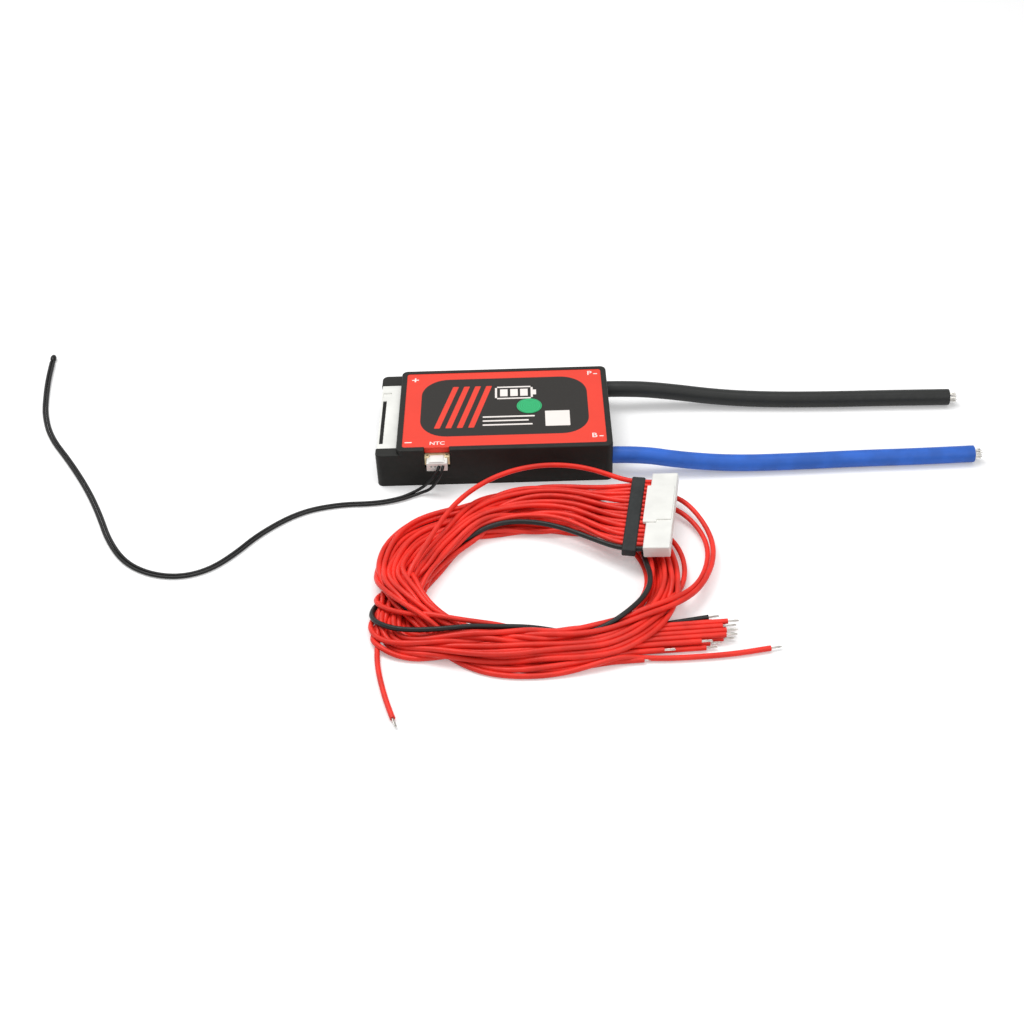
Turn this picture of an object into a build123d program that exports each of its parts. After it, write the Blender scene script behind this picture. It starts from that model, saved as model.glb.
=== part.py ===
"""Battery management board in a moulded housing, with its power leads, its
temperature probe and its unplugged sensing harness. Millimetres, +Z up.
The origin is at the bottom centre of the housing, X runs along its length
towards the power leads and Y to the back."""

from build123d import *
import math
import os

# Housing
housing_length = 76.0
housing_width = 45.0
housing_wall = 1.8
housing_roof = 1.6
housing_corner = 2.0
housing_edge = 0.5
ledge_length = 6.8
ledge_drop = 1.8
bay_offset = -0.7
rib_width = 1.6
rib_places = (2.0, 18.0)
rib_spread = 8.0
label_rim = 1.9
label_corner = 0.9
label_thickness = 0.25
label_recess = 0.4
dot_diameter = 8.2
dot_thickness = 0.15
dot_place = (11.7, 0.3)

# Base plate, seal and the stack that stands on the plate
plate_thickness = 1.8
plate_rim = 0.9
seal_thickness = 0.2
pad_thickness = 1.3
transistor_size = (6.6, 6.1, 2.3)
transistor_columns = 6
transistor_row_gap = 13.0
transistor_margins = (13.7, 5.3)
tab_length = 1.0
leg_length = 1.6
leg_width = 0.8
leg_spread = 2.3
foil_thickness = 0.5
pad_margin = (1.5, 3.0)
board_thickness = 1.6
board_gap = 0.2
board_corner = 0.8
strip_thickness = 0.6
strip_length = 19.1
strip_gap = 4.2
shunt_size = (3.2, 12.0, 1.0)
shunt_pitch = 4.2
shunt_arch = 0.3
shunts = 4
resistor_size = (2.5, 3.2, 0.6)
resistor_pitch = (3.2, 3.8)
resistor_gap = 0.95
chip_sizes = ((7.8, 5.3, 1.8), (7.0, 7.0, 1.4), (5.0, 4.0, 1.6))
chip_places = ((19.5, 4.0), (19.5, -8.0), (28.0, -9.0))
chip_foot = 0.2
can_diameter = 5.0
can_height = 4.4
can_places = ((28.0, 5.0), (28.0, 11.5))
block_capacitor = (1.2, 2.0, 1.0)
block_capacitors = 5
block_capacitor_pitch = 2.0
block_capacitor_place = (16.0, 13.0)
solder_margin = 0.9
solder_height = 0.5
fit = 0.1

# Balance header and the plug that fits it
ways = 17
pitch = 2.0
header_end = 1.6
header_depth = 7.6
header_height = 5.0
header_wall = 0.45
header_cheek = 0.6
header_back = 1.4
header_setback = 0.3
pin_side = 0.5
pin_mouth = 1.4
pin_foot = 0.9
plug_depth = 8.0
latch_from = -15.1
latch_to = 8.3
latch_slot = 1.2

# Probe header and its plug
probe_ways = 4
probe_pitch = 1.25
probe_inset = 19.8
probe_header_width = 8.0
probe_headroom = 0.3
probe_header_depth = 6.2
probe_floor = 0.7
probe_ceiling = 0.6
probe_cheek = 0.6
probe_back = 1.6
probe_sill = 0.3
probe_pin = 0.4
probe_plug_depth = 8.4
probe_latch = (5.1, 0.45)

# Power leads
lead_diameter = 5.5
core_diameter = 2.8
lead_inset = 4.1
core_reach = 8.0
strand_diameter = 0.5
strand_length = 3.0

# Probe lead and bead
probe_wire = 1.0
bead_diameter = 2.2
bead_length = 4.2

# Sensing harness
wire_diameter = 1.6
tinned_diameter = 0.9
tinned_length = 3.2
harness_place = (50.9, -50.2)
harness_turn = -9.5
coil_height = 5.6
shoulder_height = 7.6
shoulder_reach = 21.0
strap_width = 4.2
strap_thickness = 0.4
strap_reach = 8.3
exit_x = 46.0
exit_y = -84.5
coil_span = 120.0

# Worked out from the sizes above
left = -housing_length / 2
right = housing_length / 2
front = -housing_width / 2
back = housing_width / 2
block_left = left + ledge_length
block_centre = (block_left + right) / 2
floor_top = plate_thickness + seal_thickness
board_bottom = plate_thickness + pad_thickness + transistor_size[2]
board_top = board_bottom + board_thickness
board_left = left + housing_wall + board_gap
board_right = right - housing_wall - 2 * board_gap
board_front = front + housing_wall + board_gap
header_width = (ways - 1) * pitch + 2 * header_end
header_top = board_top + header_height
ledge_height = header_top + 2 * fit
housing_height = ledge_height + ledge_drop
label_length = housing_length - ledge_length - 2 * label_rim
label_width = housing_width - 2 * label_rim
header_left = left + header_setback
probe_x = left + probe_inset
bay_front = bay_offset - header_width / 2 - fit
bay_back = bay_offset + header_width / 2 + fit
socket_width = header_width - 2 * header_cheek
socket_bottom = board_top + header_wall
socket_top = header_top - header_wall
plug_width = socket_width - 2 * fit
plug_height = socket_top - socket_bottom - 2 * fit
lead_y = housing_width / 2 - lead_inset
lead_z = board_top
lead_start = board_right + board_gap
probe_top = housing_height - housing_roof - probe_headroom
notch_depth = label_rim
probe_socket = (board_top + probe_floor, probe_top - probe_ceiling)
probe_socket_width = probe_header_width - 2 * probe_cheek
probe_plug_width = probe_socket_width - 2 * fit
probe_plug_z = (probe_socket[0] + fit / 2, probe_socket[1] - fit / 2)
probe_socket_end = front + probe_header_depth - probe_back
probe_plug_end = probe_socket_end - fit
probe_plug_rear = probe_plug_end - probe_plug_depth
probe_wire_z = (probe_plug_z[0] + probe_plug_z[1]) / 2
wire_radius = wire_diameter / 2
plug_middle = coil_height + plug_height / 2


def block(x, y, z):
    """Box between the low and high value of each axis."""
    size = [high - low for low, high in (x, y, z)]
    middle = [(low + high) / 2 for low, high in (x, y, z)]
    return Pos(*middle) * Box(*size)


def plate(length, width, corner, z, x=0.0):
    """Flat plate with rounded corners, centred on the X axis."""
    outline = RectangleRounded(length, width, corner)
    return Pos(x, 0, z[0]) * extrude(outline, z[1] - z[0])


def rod(start, direction, diameter, length):
    """Round bar from a point along a direction."""
    section = Plane(origin=start, z_dir=direction) * Circle(diameter / 2)
    return extrude(section, length)


def thin_rod(start, direction, diameter, length):
    """Eight-sided bar that stands for a bundle of fine strands."""
    section = Plane(origin=start, z_dir=direction) * RegularPolygon(diameter / 2, 8)
    return extrude(section, length)


def corner_radii(points):
    """Largest arc that each pair of runs leaves room for."""
    places = [Vector(*point) for point in points]
    runs = [b - a for a, b in zip(places, places[1:])]
    radii = []
    for before, after in zip(runs, runs[1:]):
        half_turn = math.radians(before.get_angle(after)) / 2
        radii.append(0.45 * min(before.length, after.length) / math.tan(half_turn))
    return radii


def tube(name, points, diameter):
    """Cord of straight runs and tangent arcs; prints its measures."""
    radii = corner_radii(points)
    path = FilletPolyline(*points, radius=radii)
    direction = Vector(*points[1]) - Vector(*points[0])
    section = Plane(origin=points[0], z_dir=direction) * Circle(diameter / 2)
    solid = sweep(section, path=path)
    share = solid.volume / (math.pi * diameter**2 / 4 * path.length)
    tightest = min(radii) / diameter
    listed = " ".join(f"{radius:.0f}" for radius in radii)
    print(f"{name}: length {path.length:.1f}, volume share {share:.4f}, "
          f"tightest {tightest:.1f} diameters, radii {listed}")
    return solid


def group(solids):
    """Separate solids of one node."""
    return Compound(list(solids))


def housing():
    """Moulded cover: raised block, connector ledge, bay, port and exits."""
    low = plate(housing_length, housing_width, housing_corner, (0, ledge_height))
    low = fillet(low.faces().sort_by(Axis.Z)[-1].edges(), housing_edge)
    tall_length = housing_length - ledge_length
    tall = plate(tall_length, housing_width, housing_corner, (0, housing_height), block_centre)
    tall = fillet(tall.faces().sort_by(Axis.Z)[-1].edges(), housing_edge)
    shell = low + tall
    inner_x = (block_left + housing_wall, right - housing_wall)
    inner_y = (front + housing_wall, back - housing_wall)
    rebate = plate(housing_length - 2 * plate_rim, housing_width - 2 * plate_rim,
                   housing_corner - plate_rim, (0, floor_top))
    shell -= rebate
    shell -= block((left + housing_wall, inner_x[0]), inner_y, (floor_top, board_top))
    shell -= block(inner_x, inner_y, (floor_top, housing_height - housing_roof))
    shell += housing_ribs()
    shell -= block((left - 1, block_left), (bay_front, bay_back), (board_top, housing_height))
    shell -= block((left - 1, inner_x[0]), (bay_front, bay_back), (board_top, header_top + fit))
    shell -= probe_notch()
    for side in (-1, 1):
        exit_hole = rod((right - housing_wall - 1, side * lead_y, lead_z), (1, 0, 0),
                        lead_diameter + 2 * fit, housing_wall + 2)
        shell -= exit_hole
    recess_z = (housing_height - label_recess, housing_height + 1)
    shell -= plate(label_length, label_width, label_corner, recess_z, block_centre)
    return shell


def housing_ribs():
    """Ribs that hold the circuit board down from the roof."""
    reach = housing_wall + board_gap + rib_width
    height = (board_top, housing_height - housing_roof)
    ribs = []
    for x in rib_places:
        ribs.append(block((x, x + rib_width), (front + housing_wall, front + reach), height))
        ribs.append(block((x, x + rib_width), (back - reach, back - housing_wall), height))
    for y in (-rib_spread, rib_spread):
        ribs.append(block((right - reach - board_gap, right - housing_wall),
                          (y - rib_width / 2, y + rib_width / 2), height))
    return ribs


def probe_notch():
    """Opening in the front wall and roof edge for the probe header."""
    half = probe_header_width / 2 + fit
    return block((probe_x - half, probe_x + half), (front - 1, front + notch_depth),
                 (board_top + probe_sill, housing_height + 1))


def base_plate():
    """Aluminium heat spreader in the rebate under the housing."""
    return plate(housing_length - 2 * plate_rim - 2 * fit, housing_width - 2 * plate_rim - 2 * fit,
                 housing_corner - plate_rim - fit, (0, plate_thickness))


def base_seal():
    """Adhesive frame between the plate and the housing wall."""
    frame = plate(housing_length - 2 * plate_rim - 2 * fit,
                  housing_width - 2 * plate_rim - 2 * fit,
                  housing_corner - plate_rim - fit, (plate_thickness, floor_top))
    opening = block((left + housing_wall, right - housing_wall),
                    (front + housing_wall, back - housing_wall), (0, floor_top + 1))
    return frame - opening


transistor_field = (board_left + transistor_margins[0], board_right - transistor_margins[1])
transistor_reach = transistor_row_gap / 2 + transistor_size[1] / 2


def transistor_places():
    """Centres of the power transistors under the board."""
    low, high = transistor_field
    step = (high - low - transistor_size[0]) / (transistor_columns - 1)
    for side in (-1, 1):
        for column in range(transistor_columns):
            yield low + transistor_size[0] / 2 + column * step, side * transistor_row_gap / 2, side


def thermal_pad():
    """Soft pad between the transistors and the plate."""
    long = transistor_field[1] - transistor_field[0] + 2 * pad_margin[0]
    wide = 2 * (transistor_reach + pad_margin[1])
    middle = (transistor_field[0] + transistor_field[1]) / 2
    return plate(long, wide, pad_margin[0] / 2, (plate_thickness, plate_thickness + pad_thickness), middle)


def power_transistors():
    """Surface-mounted switches in two rows, with a tab and two legs each."""
    length, width, height = transistor_size
    solids = []
    for x, y, side in transistor_places():
        y0, y1 = sorted((y - side * width / 2, y + side * width / 2))
        body = block((x - length / 2, x + length / 2), (y0, y1),
                     (board_bottom - height, board_bottom))
        foil_z = (board_bottom - foil_thickness, board_bottom)
        tab_half = leg_spread + leg_width / 2
        tab_y = sorted((y + side * width / 2, y + side * (width / 2 + tab_length)))
        body += block((x - tab_half, x + tab_half), tab_y, foil_z)
        for leg_x in (x - leg_spread, x + leg_spread):
            leg_y = sorted((y - side * width / 2, y - side * (width / 2 + leg_length)))
            body += block((leg_x - leg_width / 2, leg_x + leg_width / 2), leg_y, foil_z)
        solids.append(body)
    return group(solids)


def pin_rows():
    """Places along Y of the balance header's pins."""
    return [bay_offset + (index - (ways - 1) / 2) * pitch for index in range(ways)]


def probe_pin_columns():
    """Places along X of the probe header's pins."""
    return [probe_x + (index - (probe_ways - 1) / 2) * probe_pitch for index in range(probe_ways)]


pin_drop_x = header_left + header_depth + 1.0
probe_drop_y = front + probe_header_depth + 0.8


def circuit_board():
    """Board with slots for the lead cores and holes for the header pins."""
    board = block((board_left, board_right), (board_front, -board_front), (board_bottom, board_top))
    board = fillet(board.edges().filter_by(Axis.Z), board_corner)
    slot = core_diameter / 2 + fit
    for side in (-1, 1):
        board -= block((board_right - core_reach, board_right + 1),
                       (side * lead_y - slot, side * lead_y + slot), (board_bottom - 1, board_top + 1))
    half = pin_side / 2 + fit
    for y in pin_rows():
        board -= block((pin_drop_x - half, pin_drop_x + half), (y - half, y + half),
                       (board_bottom - 1, board_top + 1))
    half = probe_pin / 2 + fit
    for x in probe_pin_columns():
        board -= block((x - half, x + half), (probe_drop_y - half, probe_drop_y + half),
                       (board_bottom - 1, board_top + 1))
    return board


def balance_header():
    """Shrouded right-angle header that opens to the left."""
    x = (header_left, header_left + header_depth)
    half = header_width / 2
    body = block(x, (bay_offset - half, bay_offset + half), (board_top, header_top))
    mouth = socket_width / 2
    body -= block((x[0] - 1, x[1] - header_back), (bay_offset - mouth, bay_offset + mouth),
                  (socket_bottom, socket_top))
    body -= block((x[0] + 0.6, x[0] + 0.6 + latch_slot), (latch_from, latch_to),
                  (socket_top - 1, header_top + 1))
    body -= block((x[0] - 1, x[0] + 2.4), (latch_to + 1.3, latch_to + 4.5),
                  (header_top - header_wall / 2, header_top + 1))
    side = pin_side / 2
    middle = board_top + header_height / 2
    for y in pin_rows():
        body -= block((x[1] - header_back - 1, x[1] + 1), (y - side, y + side),
                      (middle - side, middle + side))
    return body


def bent_pin(tip, elbow, foot, side):
    """Square pin that runs level from its tip and then straight down."""
    half = side / 2
    level_x = sorted((tip[0], elbow[0]))
    level_y = sorted((tip[1], elbow[1]))
    along_x = abs(tip[0] - elbow[0]) > abs(tip[1] - elbow[1])
    if along_x:
        level = block((level_x[0], level_x[1] + half), (tip[1] - half, tip[1] + half),
                      (tip[2] - half, tip[2] + half))
    else:
        level = block((tip[0] - half, tip[0] + half), (level_y[0], level_y[1] + half),
                      (tip[2] - half, tip[2] + half))
    drop = block((elbow[0] - half, elbow[0] + half), (elbow[1] - half, elbow[1] + half),
                 (foot, tip[2] + half))
    return level + drop


def balance_pins():
    """Seventeen right-angle pins through the header's back wall."""
    z = board_top + header_height / 2
    return group(bent_pin((header_left + pin_mouth, y, z), (pin_drop_x, y, z),
                          board_bottom - pin_foot, pin_side) for y in pin_rows())


def probe_header():
    """Four-way header whose nose fills the notch in the front wall."""
    half = probe_header_width / 2
    body = block((probe_x - half, probe_x + half), (front, front + probe_header_depth),
                 (board_top, probe_top))
    body -= block((probe_x - half - 1, probe_x + half + 1), (front - 1, board_front),
                  (board_top - 1, board_top + probe_sill + fit))
    inner = probe_socket_width / 2
    body -= block((probe_x - inner, probe_x + inner), (front - 1, probe_socket_end), probe_socket)
    latch_half = probe_latch[0] / 2 + fit
    latch_way = block((probe_x - latch_half, probe_x + latch_half), (front - 1, front + 1.0),
                      (probe_socket[1] - 0.2, probe_top + 1))
    body -= fillet(latch_way.edges().filter_by(Axis.Z).group_by(Axis.Y)[-1], 0.5)
    for side in (-1, 1):
        body -= rod((probe_x + side * (half - 0.75), front + 0.75, probe_top - probe_ceiling / 2),
                    (0, 0, 1), 0.7, 1)
    side = probe_pin / 2
    for x in probe_pin_columns():
        body -= block((x - side, x + side), (probe_socket_end - 1, front + probe_header_depth + 1),
                      (probe_wire_z - side, probe_wire_z + side))
    return body


def probe_pins():
    """Four right-angle pins behind the probe socket."""
    tip_y = probe_socket_end - 3.0
    return group(bent_pin((x, tip_y, probe_wire_z), (x, probe_drop_y, probe_wire_z),
                          board_bottom - pin_foot, probe_pin) for x in probe_pin_columns())


def probe_plug():
    """White plug with four ways and a thumb latch on top."""
    half = probe_plug_width / 2
    body = block((probe_x - half, probe_x + half), (probe_plug_rear, probe_plug_end), probe_plug_z)
    rear_edges = body.faces().sort_by(Axis.Y)[0].edges()
    body = fillet(rear_edges, 0.25)
    latch_half = probe_latch[0] / 2
    latch = block((probe_x - latch_half, probe_x + latch_half), (probe_plug_rear + 1.0, front + 0.9),
                  (probe_plug_z[1] - 0.3, probe_plug_z[1] + probe_latch[1]))
    latch = fillet(latch.edges().filter_by(Axis.Z).group_by(Axis.Y)[-1], 0.45)
    latch = chamfer(latch.faces().sort_by(Axis.Y)[0].edges().sort_by(Axis.Z)[-1], 0.3)
    body += latch
    wire_hole = probe_wire + fit
    pin_hole = probe_pin / 2 + fit
    for x in probe_pin_columns():
        body -= rod((x, probe_plug_rear - 1, probe_wire_z), (0, 1, 0), wire_hole, 3.0)
        body -= block((x - pin_hole, x + pin_hole), (probe_plug_rear + 1, probe_plug_end + 1),
                      (probe_wire_z - pin_hole, probe_wire_z + pin_hole))
    return body


def probe_terminals():
    """Crimped contacts of the two ways that are wired."""
    outer = probe_pin / 2 + fit
    solids = []
    for x in probe_pin_columns()[2:]:
        barrel_y = (probe_plug_rear + 1.0, probe_plug_rear + 2.0)
        solid = rod((x, barrel_y[0], probe_wire_z), (0, 1, 0), probe_wire * 0.8, 1.0)
        solid += block((x - outer, x + outer), (barrel_y[1], probe_socket_end - 3.0 - fit),
                       (probe_wire_z - outer, probe_wire_z + outer))
        solids.append(solid)
    return group(solids)


def front_label():
    """Printed label with a tab folded down over the probe header."""
    sheet_z = (housing_height - label_recess, housing_height - label_recess + label_thickness)
    sheet = plate(label_length, label_width, label_corner, sheet_z, block_centre)
    tab_half = probe_header_width / 2
    tab_y = front + notch_depth
    tab = block((probe_x - tab_half, probe_x + tab_half), (tab_y - label_thickness, tab_y),
                (probe_top + fit, sheet_z[1]))
    return sheet + tab


def inspection_dot():
    """Round sticker on the label."""
    z = housing_height - label_recess + label_thickness
    return rod((*dot_place, z), (0, 0, 1), dot_diameter, dot_thickness)


def monitor_chips():
    """Cell monitor, processor and driver packages."""
    return group(Pos(board_left + x, y, board_top) * chip(*size)
                 for (x, y), size in zip(chip_places, chip_sizes))


def chip(length, width, height):
    """Chip package with its sides drawn in and a foot strip as its legs."""
    body = extrude(Pos(0, 0, chip_foot) * Rectangle(length, width), height - chip_foot, taper=8)
    feet = extrude(Rectangle(length * 0.9, width + leg_length), chip_foot)
    return body + feet


def balance_resistors():
    """Bleed resistor of each cell, in two columns beside the header."""
    length, width, height = resistor_size
    rows = (ways - 1) // 2
    solids = []
    for index in range(2 * rows):
        x = pin_drop_x + pin_side + resistor_gap + length / 2 + resistor_pitch[0] * (index % 2)
        y = bay_offset + (index // 2 - (rows - 1) / 2) * resistor_pitch[1]
        solids.append(block((x - length / 2, x + length / 2), (y - width / 2, y + width / 2),
                            (board_top, board_top + height)))
    return group(solids)


strip_left = board_right - core_reach - strip_length


def shunt_resistors():
    """Metal shunts that bridge the two current strips."""
    length, width, height = shunt_size
    low = board_top + strip_thickness
    solids = []
    for index in range(shunts):
        x = strip_left + length / 2 + strip_thickness + index * shunt_pitch
        arch = block((x - length / 2, x + length / 2), (-width / 2, width / 2), (low, low + height))
        arch -= block((x - length, x + length), (-strip_gap, strip_gap), (low, low + shunt_arch))
        solids.append(arch)
    return group(solids)


def current_strips():
    """Copper strips from the shunts to the lead cores."""
    solids = []
    for side in (-1, 1):
        y = sorted((side * strip_gap, side * (lead_y - core_diameter)))
        solids.append(block((strip_left, strip_left + strip_length), y,
                            (board_top, board_top + strip_thickness)))
    return group(solids)


def capacitors():
    """Two round cans and a row of block capacitors."""
    solids = []
    base = can_diameter / 2 + fit
    for x, y in can_places:
        x += board_left
        can = rod((x, y, board_top), (0, 0, 1), can_diameter, can_height)
        solids.append(can + block((x - base, x + base), (y - base, y + base),
                                  (board_top, board_top + foil_thickness)))
    length, width, height = block_capacitor
    for index in range(block_capacitors):
        x = board_left + block_capacitor_place[0] + index * block_capacitor_pitch
        y = block_capacitor_place[1]
        solids.append(block((x - length / 2, x + length / 2), (y - width / 2, y + width / 2),
                            (board_top, board_top + height)))
    return group(solids)


def solder_joints():
    """Solder over the lead cores in the slots of the board."""
    solids = []
    for side in (-1, 1):
        y = side * lead_y
        half = core_diameter / 2 + solder_margin
        mound = block((board_right - core_reach + solder_height, board_right - solder_margin),
                      (y - half, y + half), (board_top, board_top + core_diameter / 2 + solder_height))
        mound = fillet(mound.faces().sort_by(Axis.Z)[-1].edges(), solder_height)
        mound -= rod((board_right - core_reach - 1, y, lead_z), (1, 0, 0), core_diameter, core_reach + 2)
        solids.append(mound)
    return group(solids)


# Routes of the power leads past the housing, chosen by hand
front_lead_route = [(60.0, -19.1, 4.6), (77.0, -19.5, 2.9), (97.0, -19.3, 2.8), (118.0, -18.6, 2.8),
                    (139.0, -18.5, 2.8), (154.6, -17.9, 2.8)]
back_lead_route = [(60.0, 17.9, 5.6), (76.0, 16.7, 3.5), (93.0, 15.4, 2.8), (113.0, 14.5, 2.8),
                   (134.0, 14.3, 2.8), (154.2, 13.8, 2.8)]


def lead_points(side, route):
    """Route of a power lead from the board edge through its exit."""
    straight = [(lead_start, side * lead_y, lead_z), (right + 1.6 * lead_diameter, side * lead_y, lead_z)]
    return straight + route


def strands(points):
    """Soldered inner core and the frayed outer end of a lead."""
    start = Vector(*points[0])
    inner = rod(tuple(start), (-1, 0, 0), core_diameter, core_reach)
    end = Vector(*points[-1])
    way = (end - Vector(*points[-2])).normalized()
    across = Vector(0, 0, 1).cross(way)
    rise = way.cross(across)
    outer = rod(tuple(end), tuple(way), core_diameter, strand_length / 3)
    count = 8
    for index in range(count):
        angle = 2 * math.pi * index / count + 0.3
        spread = across * math.cos(angle) + rise * math.sin(angle)
        root = end + way * 0.2 + spread * (core_diameter * 0.32)
        lean = way + spread * (0.10 + 0.05 * (index % 3))
        reach = strand_length * (0.8 + 0.07 * (index % 4))
        outer += thin_rod(tuple(root), tuple(lean), strand_diameter, reach)
    return group([inner, outer])


# Route of the probe lead's middle line where its wires run side by side
probe_route = [(-30.5, -30.4, 0.8), (-38.5, -32.0, 0.6), (-49.5, -31.9, 0.6), (-61.9, -35.1, 0.6),
               (-73.3, -45.0, 0.6), (-80.2, -54.9, 0.6), (-87.0, -61.6, 0.6), (-95.4, -64.4, 0.6),
               (-105.0, -62.6, 0.6), (-113.7, -56.7, 0.6), (-120.7, -46.1, 0.6), (-126.0, -33.7, 0.6),
               (-132.5, -20.8, 0.6), (-141.8, -5.5, 0.6), (-151.6, 8.6, 0.6), (-156.8, 21.9, 0.6),
               (-159.2, 34.1, 0.8), (-160.9, 45.5, 1.1), (-161.7, 54.5, 1.1)]


def side_by_side(route, offset):
    """Points beside a route, square to it in plan."""
    places = [Vector(*point) for point in route]
    moved = []
    for index, place in enumerate(places):
        before = places[max(index - 1, 0)]
        after = places[min(index + 1, len(places) - 1)]
        way = Vector(after.X - before.X, after.Y - before.Y, 0).normalized()
        moved.append((place.X - way.Y * offset, place.Y + way.X * offset, place.Z))
    return moved


def probe_lead():
    """Two thin wires from the plug to the bead, apart at first."""
    start_z = probe_wire_z
    third, fourth = probe_pin_columns()[2:]
    enter = probe_plug_rear + 1.0
    gap = probe_wire / 2 + 0.03
    first = [(third, enter, start_z), (third, probe_plug_rear - 1.6, start_z),
             (third - 1.3, probe_plug_rear - 3.0, start_z - 2.0),
             (third - 3.6, probe_plug_rear - 3.2, start_z - 4.7),
             (third - 7.6, probe_plug_rear - 3.2, 1.8)]
    second = [(fourth, enter, start_z), (fourth, probe_plug_rear - 2.2, start_z),
              (fourth - 0.9, probe_plug_rear - 4.4, start_z - 2.0),
              (fourth - 3.6, probe_plug_rear - 5.0, start_z - 4.7),
              (fourth - 8.0, probe_plug_rear - 4.8, 1.8)]
    return group([tube("probe lead, first wire", first + side_by_side(probe_route, -gap), probe_wire),
                  tube("probe lead, second wire", second + side_by_side(probe_route, gap), probe_wire)])


def probe_bead():
    """Resin drop over the sensing element."""
    end = Vector(*probe_route[-1])
    way = (end - Vector(*probe_route[-2]))
    way = Vector(way.X, way.Y, 0).normalized()
    drop = rod((0, 0, 0), (0, 0, 1), bead_diameter, bead_length)
    drop = chamfer(drop.faces().sort_by(Axis.Z)[-1].edges(), bead_diameter * 0.45, bead_diameter * 0.2)
    return Plane(origin=tuple(end), z_dir=way) * drop


harness_frame = Location((*harness_place, 0), (0, 0, harness_turn))


def harness_world(point):
    """Point of the plug's frame in the part's frame."""
    place = (harness_frame * Pos(*point)).position
    return (place.X, place.Y, place.Z)


def row_offsets(step):
    """Places of the wires across the row, front to back."""
    return [(index - (ways - 1) / 2) * step for index in range(ways)]


terminal_side = 1.1
wire_entry = 2.0
front_skin = 0.6
latch_span = (-5.7, 11.4)


def harness_plug():
    """Seventeen-way plug with a latch plate on its upper side."""
    x = plug_depth / 2
    y = plug_width / 2
    z = (coil_height, coil_height + plug_height)
    body = block((-x, x), (-y, y), z)
    body = chamfer(body.faces().sort_by(Axis.X)[-1].edges(), 0.3)
    body += block((-x - 1.0, -x + 1.9), latch_span, (z[1] - 0.6, z[1] + 0.35))
    for y_rib in (-y + 2.4, y - 2.4):
        body += block((-x, -x + 1.9), (y_rib - 0.5, y_rib + 0.5), (z[1] - 0.2, z[1] + 0.35))
    entry = wire_radius + fit / 2
    terminal = terminal_side / 2 + fit / 2
    pin = pin_side / 2 + fit
    for y_row in row_offsets(pitch):
        body -= block((-x - 1, -x + wire_entry), (y_row - entry, y_row + entry),
                      (plug_middle - entry, plug_middle + entry))
        body -= block((-x + 1, x - front_skin), (y_row - terminal, y_row + terminal),
                      (plug_middle - terminal, plug_middle + terminal))
        body -= block((x - front_skin - 1, x + 1), (y_row - pin, y_row + pin),
                      (plug_middle - pin, plug_middle + pin))
    return harness_frame * body


def harness_terminals():
    """Contacts in the plug, one to each wire."""
    x = (-plug_depth / 2 + wire_entry, plug_depth / 2 - front_skin)
    half = terminal_side / 2
    bore = pin_side / 2
    solids = []
    for y in row_offsets(pitch):
        z = plug_middle
        contact = block(x, (y - half, y + half), (z - half, z + half))
        contact -= block((x[1] - 3.2, x[1] + 1), (y - bore, y + bore), (z - bore, z + bore))
        solids.append(harness_frame * contact)
    return group(solids)


def harness_strap():
    """Flat band round the wires just behind the plug."""
    inner_y = plug_width / 2 - header_end / 2 + wire_radius
    inner_z = wire_radius + fit
    outer = Box(strap_width, 2 * (inner_y + strap_thickness), 2 * (inner_z + strap_thickness))
    outer = fillet(outer.edges().filter_by(Axis.X), 0.8)
    band = outer - Box(strap_width + 1, 2 * inner_y, 2 * inner_z)
    return harness_frame * Pos(-strap_reach, 0, plug_middle) * band


# Outlines of the coil in plan, chosen by hand
coil_outer = [(14.0, -29.0), (33.5, -30.5), (47.5, -37.5), (56.8, -51.0), (58.6, -67.0), (55.0, -84.0),
              (48.5, -99.5), (37.0, -108.5), (17.8, -111.0), (1.0, -109.6), (-16.5, -103.0),
              (-30.5, -94.0), (-36.6, -80.0), (-34.0, -57.0), (-23.4, -42.5), (-8.0, -33.0)]
coil_inner = [(20.0, -50.6), (33.5, -56.5), (43.5, -63.5), (47.3, -72.0), (43.8, -84.0), (34.0, -91.8),
              (18.0, -94.2), (1.0, -91.6), (-12.0, -86.6), (-20.4, -77.5), (-18.4, -65.0), (-10.5, -55.5),
              (4.0, -51.2)]


def harness_coil():
    """Wound length of all the wires as one body, thicker where they enter."""
    outer = make_face(Spline(*coil_outer, periodic=True))
    inner = make_face(Spline(*coil_inner, periodic=True))
    ring = outer - inner
    coil = extrude(ring, coil_height)
    span = coil_span / 2
    entry_side = harness_frame * Pos(-shoulder_reach - span, 0, 0) * Box(2 * span, 2 * span, 2 * span)
    coil += extrude(ring, shoulder_height) & entry_side
    return coil - block((exit_x, exit_x + span), (exit_y - span, exit_y), (-1, coil_height + 1))


# Last wire: raised over the coil; points in the part's frame
raised_route = [(33.5, -29.4, 9.0), (23.5, -27.2, 10.0), (11.5, -27.9, 10.2), (-0.5, -33.0, 10.1),
                (-10.5, -42.0, 9.6), (-17.2, -51.5, 8.9), (-20.4, -59.5, 8.5)]
stub_step = 1.72
stub_reach = (11.6, 18.4)


def stub(index):
    """Wire from its terminal through the strap to the coil."""
    y = row_offsets(pitch)[index]
    enter = -plug_depth / 2 + wire_entry
    points = [harness_world((enter, y, plug_middle))]
    if index == ways - 1:
        points += [harness_world((-stub_reach[0], y, plug_middle))] + raised_route
        return tube(f"wire {index + 1}, raised run", points, wire_diameter)
    y_end = (index - (ways - 2) / 2) * stub_step + 0.2
    z_end = coil_height + wire_radius + fit
    points += [harness_world((-stub_reach[0], y, plug_middle)),
               harness_world((-stub_reach[1], y_end, z_end)),
               harness_world((-shoulder_reach, y_end, z_end))]
    return tube(f"wire {index + 1}, fan", points, wire_diameter)


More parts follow.
